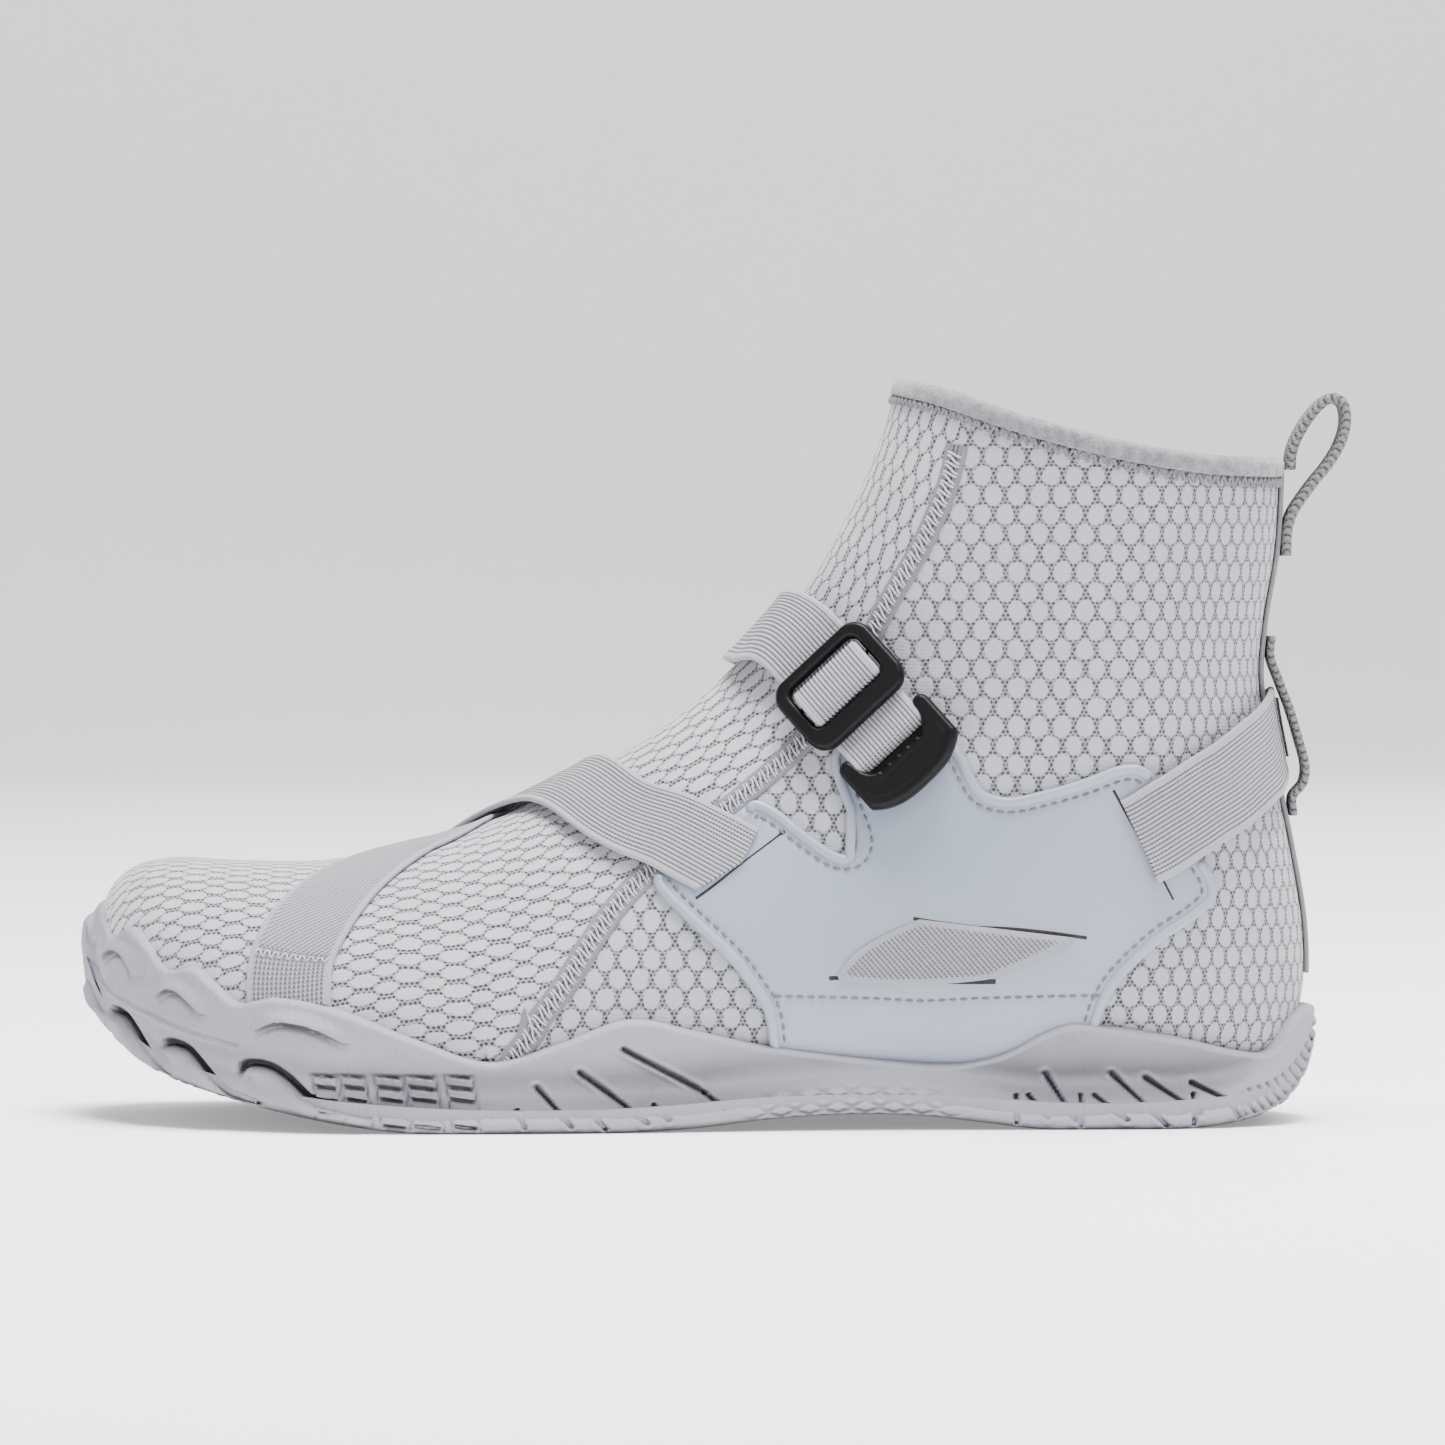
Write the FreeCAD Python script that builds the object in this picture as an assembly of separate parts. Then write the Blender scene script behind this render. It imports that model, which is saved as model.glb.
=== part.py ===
"""Left ankle-high neoprene water boot: a knitted neoprene sock in three panels on a rubber cup sole,
held by crossed elastic bands, a heel strap and an ankle strap with a slide adjuster and a hook.

Frame: millimetres, +Z up, toe towards -X, heel towards +X, outer (lateral) side towards -Y.
The origin is at the middle of the boot's box, on the ground.

The sock is one surface. A station runs from the toe tip to above the collar. Each station is a plane that
holds a front point and a back point of the side profile, and its section is a rounded oval across it.
Every band, overlay and panel is that surface moved outwards by its own heights.
"""
import FreeCAD
import Part
import math
import os

V = FreeCAD.Vector

# ---------------------------------------------------------------- driving dimensions
NEOPRENE = 3.0          # thickness of the knit-faced neoprene
RUBBER_WALL = 3.0       # thickness of the sole's rand round the sock
BOND_GAP = 0.25         # glue line between the sole and the sock
BOARD_THICK = 1.8       # stitched board that closes the sock's bottom
FOOTBED_THICK = 4.0     # removable footbed
BINDING_HEIGHT = 3.6    # soft binding over the collar's edge
STRAP_WIDTH = 20.0      # elastic bands over the forefoot, instep and ankle
HEEL_BAND_WIDTH = 21.0
BAND_THICK = 1.2
TAPE_WIDTH = 12.0       # webbing tape up the heel seam
HEEL_Y = -0.7           # middle of the heel seam across the boot
WEB_THICK = 1.3
SEAM_WIDTH = 7.0        # flat stitched seam between the vamp and the quarters
SOCK_FACE = -0.2                # height of the panels' outer face, just under the surface the layers sit on
OVERLAY_LAYER = (0.4, 1.4)      # heights of the moulded overlay above the sock
PIPING_LAYER = (1.5, 2.1)
PIPING_WIDTH = 2.6
LOW_BAND_LAYER = (0.45, 1.45)
HIGH_BAND_LAYER = (2.15, 2.15 + BAND_THICK)
ARCH_BAND_LAYER = (1.6, 2.6)
SEAM_LAYER = (0.12, 0.3)
Y_REACH = 90.0          # further out than any part of the boot
PLAY = 0.15             # gap between neighbouring cut edges

# Stations: front x, front z, back x, back z, outer y, inner y, ridge shift, widest share, lower power, upper power
STATIONS = [
    (-144.0, 43.5, -144.0, 34.5, 9.0, 25.0, 0.0, 0.50, 2.2, 2.1),
    (-142.6, 49.0, -142.6, 31.0, 2.0, 31.0, 0.5, 0.48, 2.3, 2.1),
    (-139.6, 54.5, -139.6, 26.8, -8.5, 37.5, 1.0, 0.44, 2.5, 2.2),
    (-134.0, 58.5, -134.5, 21.8, -18.0, 42.5, 2.0, 0.38, 2.7, 2.3),
    (-125.0, 60.2, -125.5, 16.6, -28.5, 46.0, 3.0, 0.34, 2.9, 2.3),
    (-111.0, 59.6, -111.5, 12.4, -38.0, 48.0, 4.5, 0.30, 3.0, 2.3),
    (-92.0, 59.6, -92.0, 8.3, -44.8, 48.3, 6.0, 0.28, 3.1, 2.2),
    (-72.0, 62.8, -69.0, 6.3, -48.2, 47.0, 7.0, 0.27, 3.1, 2.1),
    (-52.0, 68.8, -44.0, 5.4, -47.6, 42.5, 6.5, 0.27, 3.1, 2.0),
    (-32.0, 78.5, -17.0, 5.8, -44.8, 36.5, 6.0, 0.28, 3.0, 2.0),
    (-14.0, 89.0, 16.0, 8.0, -40.8, 33.0, 5.0, 0.30, 3.0, 2.0),
    (-1.5, 98.8, 50.0, 8.0, -36.8, 31.0, 4.0, 0.34, 3.0, 2.05),
    (6.5, 106.5, 85.0, 5.6, -35.2, 30.6, 3.0, 0.38, 2.9, 2.1),
    (12.8, 113.0, 114.0, 6.8, -34.6, 31.0, 2.0, 0.42, 2.8, 2.15),
    (17.6, 118.0, 130.5, 13.5, -34.2, 31.4, 1.5, 0.45, 2.6, 2.2),
    (21.2, 122.2, 136.8, 27.5, -33.8, 31.8, 1.0, 0.48, 2.3, 2.2),
    (25.0, 128.2, 137.4, 44.0, -33.8, 32.2, 1.0, 0.50, 2.2, 2.2),
    (28.6, 135.0, 134.4, 63.0, -34.4, 33.0, 0.5, 0.50, 2.15, 2.2),
    (32.2, 141.8, 130.4, 82.0, -34.8, 33.6, 0.5, 0.50, 2.15, 2.2),
    (35.2, 148.2, 127.2, 101.0, -34.8, 33.8, 0.0, 0.50, 2.15, 2.2),
    (37.8, 154.6, 128.2, 116.0, -34.4, 33.4, 0.0, 0.50, 2.15, 2.2),
    (40.2, 161.4, 130.8, 132.0, -34.0, 33.0, 0.0, 0.50, 2.15, 2.2),
    (42.8, 169.5, 131.8, 150.5, -33.8, 32.8, 0.0, 0.50, 2.15, 2.2),
    (46.0, 181.0, 132.2, 171.0, -33.8, 32.8, 0.0, 0.50, 2.15, 2.2),
]
LAST_STATION = len(STATIONS) - 1
LINING_START = 1.3      # the station where the inside begins, behind the toe tip

# Side profiles, as x and z
GROUND = [(-150.0, 44.0), (-147.4, 36.0), (-145.0, 27.0), (-139.5, 20.6), (-131.5, 14.8), (-122.5, 10.8),
          (-108.0, 6.8), (-92.0, 3.2), (-78.0, 1.0), (-66.0, 0.0)]
ARCH = [(-18.0, 0.0), (-2.0, 0.9), (14.0, 2.7), (31.0, 3.6), (48.0, 3.2), (62.0, 1.6), (76.0, 0.0)]
HEEL_CURVE = [(110.0, 0.0), (122.0, 1.5), (131.0, 4.6), (137.0, 10.5), (140.2, 18.0), (141.5, 26.0)]
FLOOR = [(-147.0, 40.0), (-142.8, 31.2), (-139.6, 27.0), (-134.5, 22.0), (-125.5, 16.8), (-111.5, 12.6),
         (-92.0, 8.5), (-69.0, 6.5), (-44.0, 5.6), (-17.0, 6.0), (16.0, 8.2), (50.0, 8.2), (85.0, 6.2),
         (114.0, 7.0), (128.0, 9.0), (142.0, 12.0)]
RAND_TOP = [(-152.0, 44.0), (-147.0, 48.0), (-143.3, 50.0), (-139.5, 43.0), (-134.8, 45.0), (-130.0, 41.0),
            (-125.6, 36.0), (-119.0, 36.6), (-113.5, 32.5), (-108.6, 29.0), (-99.5, 30.4), (-86.0, 28.0),
            (-66.0, 20.6), (-50.0, 15.8), (-34.0, 20.0), (-18.0, 25.3), (-2.7, 22.5), (13.0, 19.1), (42.6, 15.2),
            (56.0, 14.6), (66.3, 16.7), (76.3, 21.8), (83.0, 23.8), (105.6, 20.7), (123.0, 16.8), (130.4, 17.0),
            (137.0, 25.0), (144.0, 27.5)]
COLLAR_EDGE = [(30.0, 176.0), (43.0, 171.2), (52.0, 168.8), (70.0, 162.6), (90.0, 157.2), (110.0, 153.6),
               (126.0, 152.6), (140.0, 152.8)]
FRONT_SEAM = [(-54.0, 2.0), (-46.5, 14.5), (-38.5, 26.0), (-32.6, 34.5), (-29.0, 40.5), (-19.7, 53.3),
              (-6.0, 65.5), (7.3, 76.0), (19.5, 86.8), (30.0, 100.0), (37.5, 114.0), (41.5, 121.8), (48.0, 133.0),
              (54.0, 147.0), (57.0, 160.0), (58.0, 180.0)]

# The sole's plan outline: x, outer y, inner y
SOLE_PLAN = [(-146.6, 8.0, 27.0), (-143.6, -2.0, 34.0), (-137.6, -14.0, 41.5), (-129.0, -26.5, 47.0),
             (-117.0, -37.0, 50.4), (-102.0, -45.0, 51.8), (-84.0, -50.0, 51.9), (-64.0, -51.9, 50.4),
             (-42.0, -51.2, 46.2), (-18.0, -48.0, 40.6), (8.0, -43.4, 35.8), (34.0, -40.0, 33.4),
             (60.0, -38.4, 33.6), (86.0, -37.6, 34.2), (106.0, -35.8, 32.8), (122.0, -30.4, 27.6),
             (133.0, -21.6, 19.0), (139.4, -8.0, 6.0)]

# Moulded overlay, from the side, as x and z
OVERLAY = [
    [(13.6, 12.0), (13.1, 19.0), (12.0, 26.7), (8.7, 32.3), (4.3, 38.1), (-1.5, 43.7), (-7.1, 48.8),
     (-11.5, 53.2), (-13.2, 56.0), (-12.6, 58.4)],
    [(-12.6, 58.4), (7.5, 72.9)],
    [(7.5, 72.9), (9.6, 74.4), (11.8, 74.2), (15.4, 72.3), (21.0, 68.0), (26.8, 63.9), (30.1, 62.5),
     (32.6, 63.3), (33.2, 65.6), (31.6, 70.4), (29.6, 75.7), (27.9, 80.8), (27.6, 84.6), (29.0, 87.6)],
    [(29.0, 87.6), (43.0, 99.6)],
    [(43.0, 99.6), (52.0, 92.6), (57.6, 85.6), (59.8, 81.2), (62.4, 77.2), (67.7, 75.7), (76.3, 77.4),
     (85.6, 80.2), (92.6, 82.9), (97.2, 83.2), (101.0, 81.2)],
    [(101.0, 81.2), (112.1, 61.6)],
    [(112.1, 61.6), (114.8, 56.8), (114.8, 52.0), (109.6, 47.1), (103.2, 43.0), (96.1, 36.7), (91.4, 30.9),
     (88.6, 24.0), (87.4, 14.0)],
    [(87.4, 14.0), (13.6, 12.0)],
]
WINDOW_TOP = ((47.3, 47.9), (83.3, 43.9))
WINDOW_FOOT = ((28.0, 34.4), (61.2, 34.0))

PIPING_RUNS = [
    [(13.4, 24.0), (11.2, 28.6), (8.2, 33.6), (4.6, 38.2), (-0.6, 43.6), (-6.0, 48.4), (-10.0, 52.2)],
    [(9.6, 72.9), (11.9, 72.6), (15.6, 70.7), (21.0, 66.6), (26.6, 62.6), (30.4, 61.4)],
    [(44.5, 96.4), (51.2, 91.2), (56.8, 84.2), (59.2, 79.4), (62.4, 75.6), (67.9, 74.4), (76.6, 76.0),
     (85.9, 78.9), (92.8, 81.5), (96.8, 81.7)],
    [(113.3, 56.2), (113.3, 52.4), (108.7, 48.1), (102.2, 43.9), (95.0, 37.5), (90.2, 31.4), (87.3, 24.8)],
]
TREAD_CUTS = [(-88.0, 24.0), (-74.0, 24.0), (-30.0, -28.0), (-6.0, -34.0), (88.0, -30.0), (100.0, -30.0),
              (114.0, 12.0)]
KEEPER = [(112.0, 2.5), (107.5, 2.55), (102.0, 4.3), (95.0, 6.2), (88.0, 7.0), (82.0, 7.3), (78.0, 6.0),
          (74.8, 3.0), (70.5, 2.5)]    # height and distance out from the sock's back
PULL_LOOP = [(133.5, 131.5), (134.2, 138.5), (136.3, 143.4), (139.6, 147.9), (142.6, 151.6), (145.4, 156.2),
             (146.9, 161.5), (146.2, 165.9), (143.7, 167.2), (140.7, 165.4), (137.6, 161.6), (135.2, 157.6),
             (134.4, 155.4)]

# Buckle group on the outer ankle, placed from the side: slide centre, and the strap's run down and back
SLIDE_AT = (31.0, 99.5)
RUN_X, RUN_Z = 0.667, -0.745
HINGE_RUN = -14.0       # where the strap's free end bends away from the ankle
RUN_OUT = 1.5           # gap there between the sewn strap and the free end
BAR_RUN = 17.0          # axis of the hook's bar
HOOK_END_RUN = 29.5
WEB_RISE = 2.3          # height of the strap's lower face above the sock at the slide
STRAP_THICK = 1.4
BUCKLE_WIDTH = 26.0
SLIDE_HALF = 8.8        # half of the slide's length along the strap
BAR_RADIUS = 1.0
BAR_PLAY = 0.3


# ---------------------------------------------------------------- small maths
def through(keys, u, column):
    """Smooth curve through the keys: cubic pieces whose slopes come from each key's two neighbours."""
    last = len(keys) - 1
    i = 0
    while i < last - 1 and u > keys[i + 1][0]:
        i += 1

    def slope(k):
        a = max(k - 1, 0)
        b = min(k + 1, last)
        return (keys[b][column] - keys[a][column]) / (keys[b][0] - keys[a][0])
    step = keys[i + 1][0] - keys[i][0]
    w = (u - keys[i][0]) / step
    here = keys[i][column]
    there = keys[i + 1][column]
    a = slope(i) * step
    b = slope(i + 1) * step
    return (here * (2 * w ** 3 - 3 * w ** 2 + 1) + a * (w ** 3 - 2 * w ** 2 + w)
            + there * (3 * w ** 2 - 2 * w ** 3) + b * (w ** 3 - w ** 2))


STATION_KEYS = [(float(i),) + row for i, row in enumerate(STATIONS)]


def station(s):
    """The ten numbers of a station at any place between the rows."""
    return [through(STATION_KEYS, s, c) for c in range(1, 11)]


def sock(s, turn):
    """Point of the sock's outer face. Turn is 0 on the front ridge, rises round the outer side, pi at the back."""
    fx, fz, bx, bz, outer, inner, ridge, wide, low, high = station(s)
    c, sn = math.cos(turn), math.sin(turn)
    power = high if c >= 0 else low
    r = (abs(c) ** power + abs(sn) ** power) ** (-1.0 / power)
    share = wide + (1 - wide) * r * c if c >= 0 else wide + wide * r * c
    lift = max(0.0, (share - wide) / (1 - wide))
    y = (outer + inner) / 2 + ridge * lift ** 2 - (inner - outer) / 2 * r * sn
    return V(bx + (fx - bx) * share, y, bz + (fz - bz) * share)


def slopes(s, turn):
    """The surface's two slopes and its outward normal."""
    ds, dt = 0.01, 0.002
    along = (sock(s + ds, turn) - sock(s - ds, turn)) * (0.5 / ds)
    around = (sock(s, turn + dt) - sock(s, turn - dt)) * (0.5 / dt)
    return along, around, around.cross(along).normalize()


def lifted(s, turn, height):
    return sock(s, turn) + slopes(s, turn)[2] * height


def find(x, z, side):
    """Station and turn of the point at side-view x and z. Side is 1 for the outer side and -1 for the inner."""
    def miss(s):
        fx, fz, bx, bz = station(s)[:4]
        return (x - bx) * (fz - bz) - (z - bz) * (fx - bx)
    low, high = 0.5, LAST_STATION - 0.01
    for _ in range(50):
        mid = (low + high) / 2
        if miss(mid) * miss(high) > 0:
            high = mid
        else:
            low = mid
    s = (low + high) / 2
    fx, fz, bx, bz = station(s)[:4]
    share = ((x - bx) * (fx - bx) + (z - bz) * (fz - bz)) / ((fx - bx) ** 2 + (fz - bz) ** 2)
    a, b = 0.0, math.pi
    for _ in range(50):
        mid = (a + b) / 2
        p = sock(s, mid)
        here = ((p.x - bx) * (fx - bx) + (p.z - bz) * (fz - bz)) / ((fx - bx) ** 2 + (fz - bz) ** 2)
        if here > share:
            a = mid
        else:
            b = mid
    return s, side * (a + b) / 2


# ---------------------------------------------------------------- solids from the surface
def closed_curve(points):
    curve = Part.BSplineCurve()
    curve.interpolate(Points=points, PeriodicFlag=True)
    return Part.Wire([curve.toShape()])


def open_curve(points):
    if len(points) == 2:
        return Part.LineSegment(points[0], points[1]).toShape()
    curve = Part.BSplineCurve()
    curve.interpolate(points)
    return curve.toShape()


def flat_ring(s, height, shift, count):
    """Section of the surface kept in its own plane, grown by height there and moved along x."""
    fx, fz, bx, bz = station(s)[:4]
    plane = V(fz - bz, 0, -(fx - bx)).normalize()
    ring = []
    for j in range(count):
        turn = 2 * math.pi * j / count
        around = sock(s, turn + 0.002) - sock(s, turn - 0.002)
        out = around.cross(plane).normalize()
        ring.append(sock(s, turn) + out * height + V(shift, 0, 0))
    return ring


def sock_body(height, first=0.0, shift=0.0, tip=1.0):
    """The whole sock as a solid grown by height, from station first to above the collar."""
    rows = [first] + ([0.5] if first < 0.5 else []) + list(range(int(first + 1.2), LAST_STATION + 1))
    count = 40
    grid = []
    for s in rows:
        if s == rows[0]:
            ring = flat_ring(s, height * tip, shift, count)
        elif s == LAST_STATION:
            ring = [p + V(0, 0, 3.0 - height) for p in flat_ring(s, height, 0.0, count)]
        else:
            ring = [lifted(s, 2 * math.pi * j / count, height) for j in range(count)]
        grid.append(ring + [ring[0]])
    surface = Part.BSplineSurface()
    surface.interpolate(grid)
    wall = surface.toShape()
    rims = [e for e in wall.Edges if e.isClosed() and not e.isSeam(wall)]
    shell = Part.makeShell([wall] + [Part.Face(Part.Wire([e])) for e in rims])
    shell.sewShape()
    return Part.makeSolid(shell.Shells[0])


def grid_solid(outer, inner):
    """Closed solid between two grids of points: two smooth faces and four ruled sides."""
    faces = []
    for grid in (outer, inner):
        surface = Part.BSplineSurface()
        surface.interpolate(grid)
        faces.append(surface.toShape())
    rims = []
    for grid in (outer, inner):
        surface = Part.BSplineSurface()
        surface.interpolate(grid)
        u0, u1, v0, v1 = surface.bounds()
        rims.append([surface.uIso(u0).toShape(), surface.uIso(u1).toShape(),
                     surface.vIso(v0).toShape(), surface.vIso(v1).toShape()])
    for a, b in zip(*rims):
        faces.append(Part.makeRuledSurface(a, b, 1))
    shell = Part.makeShell(faces)
    shell.sewShape()
    shell = shell.Shells[0] if shell.ShapeType != "Shell" else shell
    solid = Part.makeSolid(shell)
    if solid.Volume < 0:
        shell.reverse()
        solid = Part.makeSolid(shell)
    return solid


def band(keys, width, layer, stations=28, across=5):
    """A strap that follows the sock: keys are (station, turn) of its middle line, and may add a lift."""
    keys = [tuple(k) + (0.0,) * (3 - len(k)) for k in keys]
    count = len(keys) - 1
    path = [(float(i),) + tuple(k) for i, k in enumerate(keys)]
    outer, inner = [], []
    for k in range(stations):
        u = count * k / (stations - 1)
        s, turn, lift = (through(path, u, c) for c in (1, 2, 3))
        a, b = max(0.0, u - 0.02), min(float(count), u + 0.02)
        ds = (through(path, b, 1) - through(path, a, 1)) / (b - a)
        dt = (through(path, b, 2) - through(path, a, 2)) / (b - a)
        along, around, out = slopes(s, turn)
        run = (along * ds + around * dt).normalize()
        side = out.cross(run).normalize()
        aa, bb, ab = along.dot(along), around.dot(around), along.dot(around)
        pa, pb = along.dot(side), around.dot(side)
        det = aa * bb - ab * ab
        gs, gt = (pa * bb - pb * ab) / det, (pb * aa - pa * ab) / det
        row_o, row_i = [], []
        for j in range(across):
            v = width * (j / (across - 1) - 0.5)
            row_o.append(lifted(s + gs * v, turn + gt * v, layer[1] + lift))
            row_i.append(lifted(s + gs * v, turn + gt * v, layer[0] + lift))
        outer.append(row_o)
        inner.append(row_i)
    return grid_solid(outer, inner)


def side_prism(runs, y0, y1):
    """Block whose side-view outline is a chain of runs: two points make a line, more make a smooth curve."""
    edges = [open_curve([V(x, y0, z) for x, z in run]) for run in runs]
    face = Part.Face(Part.Wire(edges))
    return face.extrude(V(0, y1 - y0, 0))


def side_region(curve, z_far, drop=0.0, stretch=0.0):
    """Everything between an open side-view curve, moved down by drop, and the level z_far."""
    points = [(x, z - drop) for x, z in curve]
    ends = [(points[0][0] - stretch, points[0][1]), (points[-1][0] + stretch, points[-1][1])]
    runs = [points, [ends[1], (ends[1][0], z_far)], [(ends[1][0], z_far), (ends[0][0], z_far)],
            [(ends[0][0], z_far), ends[0]]]
    if stretch:
        runs = [[ends[0], points[0]], points, [points[-1], ends[1]]] + runs[1:]
    return side_prism(runs, -Y_REACH, Y_REACH)


def swept_profile(points, thick, y0, y1):
    """Strip of webbing seen edge-on: a smooth line of points given a thickness and a width along Y."""
    curve = Part.BSplineCurve()
    curve.interpolate([V(x, y0, z) for x, z in points])
    a, b = curve.FirstParameter, curve.LastParameter
    left, right = [], []
    count = 4 * len(points)
    for k in range(count + 1):
        u = a + (b - a) * k / count
        p = curve.value(u)
        t = V(*curve.tangent(u)[0])
        n = V(-t.z, 0, t.x) * (thick / 2)
        left.append(p + n)
        right.append(p - n)
    edges = [open_curve(left), Part.LineSegment(left[-1], right[-1]).toShape(),
             open_curve(right), Part.LineSegment(right[0], left[0]).toShape()]
    wire = Part.Wire(Part.__sortEdges__(edges))
    return Part.Face(wire).extrude(V(0, y1 - y0, 0))


def main_solids(shape, smallest=1.0):
    """Only the real pieces of a cut shape, without slivers."""
    solids = [s for s in shape.Solids if s.Volume > smallest]
    return solids[0] if len(solids) == 1 else Part.makeCompound(solids)


PARTS = {}


def keep(name, shape):
    PARTS[name] = main_solids(shape)


# ---------------------------------------------------------------- sock, board, footbed and binding
def build_sock():
    """Three neoprene panels closed below by a stitched board, a footbed on it and a binding on the collar."""
    face = sock_body(SOCK_FACE)
    lining = sock_body(-NEOPRENE, LINING_START)
    above_board = side_region(FLOOR, 220.0, drop=-(BOARD_THICK + PLAY))
    below_collar = side_region(COLLAR_EDGE, -20.0, drop=1.0, stretch=220.0)
    wall = face.cut(lining).common(above_board).common(below_collar)
    front = side_prism([FRONT_SEAM, [FRONT_SEAM[-1], (-170.0, 180.0)], [(-170.0, 180.0), (-170.0, 2.0)],
                        [(-170.0, 2.0), FRONT_SEAM[0]]], -Y_REACH, Y_REACH)
    rear = wall.cut(front.translated(V(2 * PLAY, 0, 0)))
    keep("vamp_panel", wall.common(front))
    keep("lateral_quarter", rear.common(Part.makeBox(400, Y_REACH, 300, V(-200, HEEL_Y - PLAY - Y_REACH, -20))))
    keep("medial_quarter", rear.common(Part.makeBox(400, Y_REACH, 300, V(-200, HEEL_Y + PLAY, -20))))
    keep("strobel_board", face.common(side_region(FLOOR, -20.0, drop=-BOARD_THICK)))
    bed = lining.common(side_region(FLOOR, 220.0, drop=-(BOARD_THICK + 2 * PLAY)))
    bed = bed.common(side_region(FLOOR, -20.0, drop=-(BOARD_THICK + 2 * PLAY + FOOTBED_THICK)))
    keep("footbed", bed.common(sock_body(-NEOPRENE - 0.4, LINING_START)))
    ring = sock_body(0.9, 0.0, -0.9, 0.3).cut(sock_body(-NEOPRENE - 1.1, LINING_START))
    ring = ring.common(side_region(COLLAR_EDGE, 220.0, drop=BINDING_HEIGHT, stretch=220.0))
    ring = ring.common(side_region(COLLAR_EDGE, -20.0, drop=-0.9, stretch=220.0))
    core = sock_body(0.0).cut(sock_body(-NEOPRENE - 0.2, LINING_START))
    core = core.common(side_region(COLLAR_EDGE, -20.0, drop=0.7, stretch=220.0))
    keep("collar_binding", ring.cut(core))


# ---------------------------------------------------------------- rubber sole
def ground_prism(rise, z_far):
    """Everything on one side of the sole's side profile, moved up by rise."""
    def up(points):
        return [(x, z + rise) for x, z in points]
    first, last = up(GROUND)[0], up(HEEL_CURVE)[-1]
    return side_prism([up(GROUND), up([GROUND[-1], ARCH[0]]), up(ARCH), up([ARCH[-1], HEEL_CURVE[0]]),
                       up(HEEL_CURVE), [last, (last[0], z_far)], [(last[0], z_far), (first[0], z_far)],
                       [(first[0], z_far), first]], -Y_REACH, Y_REACH)


def build_sole():
    """Cup sole: a wall that follows the sock up to the rand's edge on a tread with cut grooves."""
    outline = [V(-147.7, 17.0, -10)] + [V(x, outer, -10) for x, outer, inner in SOLE_PLAN]
    outline += [V(140.6, -1.0, -10)] + [V(x, inner, -10) for x, outer, inner in reversed(SOLE_PLAN)]
    plan = Part.Face(closed_curve(outline)).extrude(V(0, 0, 100))
    plan = plan.common(ground_prism(0.0, 90.0))
    tread = plan.common(ground_prism(11.0, -30.0))
    wall = plan.common(sock_body(RUBBER_WALL + 0.4, 0.0, -RUBBER_WALL - 0.3, 0.3))
    sole = tread.fuse(wall)
    sole = sole.common(side_region(RAND_TOP, -20.0)).cut(sock_body(BOND_GAP, 0.0, -BOND_GAP, 0.3))
    low = ground_prism(1.6, -30.0)
    for x, angle in TREAD_CUTS:
        cutter = Part.makeBox(1.5, 70, 60, V(-0.75, -35, -10))
        cutter.rotate(V(0, 0, 0), V(0, 0, 1), angle)
        sole = sole.cut(cutter.translated(V(x, 0, 0)).common(low))
    keep("outsole", sole)


# ---------------------------------------------------------------- overlays and bands
def overlay(side):
    """Moulded overlay of one side with its piping and the elastic band that shows through its two slits."""
    turns = [side * (0.3 + 2.65 * k / 21) for k in range(22)]
    rows = [8.6 + 11.4 * k / 25 for k in range(26)]
    sides = sorted((side * -Y_REACH, side * -2.0))
    above_rand = side_region(RAND_TOP, 220.0, drop=-PLAY)

    def layer(heights):
        grids = [[[lifted(s, t, h) for t in turns] for s in rows] for h in reversed(heights)]
        return grid_solid(*grids)
    sheet = layer(OVERLAY_LAYER).common(side_prism(OVERLAY, *sides)).common(above_rand)
    for a, b in (WINDOW_TOP, WINDOW_FOOT):
        run = V(b[0] - a[0], 0, b[1] - a[1]).normalize() * 3.0
        n = V(-run.z, 0, run.x) * 0.2
        box = [(a[0] - run.x - n.x, a[1] - run.z - n.z), (b[0] + run.x - n.x, b[1] + run.z - n.z),
               (b[0] + run.x + n.x, b[1] + run.z + n.z), (a[0] - run.x + n.x, a[1] - run.z + n.z)]
        sheet = sheet.cut(side_prism([[box[i], box[(i + 1) % 4]] for i in range(4)], *sides))
    window = [WINDOW_FOOT[0], (32.0, 39.6), (38.5, 43.9), WINDOW_TOP[0]]
    edge = [WINDOW_TOP[1], (80.5, 40.2), (73.0, 36.6), WINDOW_FOOT[1]]
    panel = side_prism([window, [WINDOW_TOP[0], WINDOW_TOP[1]], edge, [WINDOW_FOOT[1], WINDOW_FOOT[0]]], *sides)
    pieces = []
    for run in PIPING_RUNS:
        keys = [find(x, z, side) for x, z in run]
        piece = band(keys, PIPING_WIDTH, PIPING_LAYER, 14 + 4 * len(run), 3).common(above_rand)
        pieces.append(piece.cut(sheet))
    name = "lateral" if side > 0 else "medial"
    keep(name + "_overlay", sheet)
    keep(name + "_overlay_piping", Part.makeCompound([s for p in pieces for s in p.Solids]))
    keep(name + "_arch_band", layer(ARCH_BAND_LAYER).common(panel))


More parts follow.
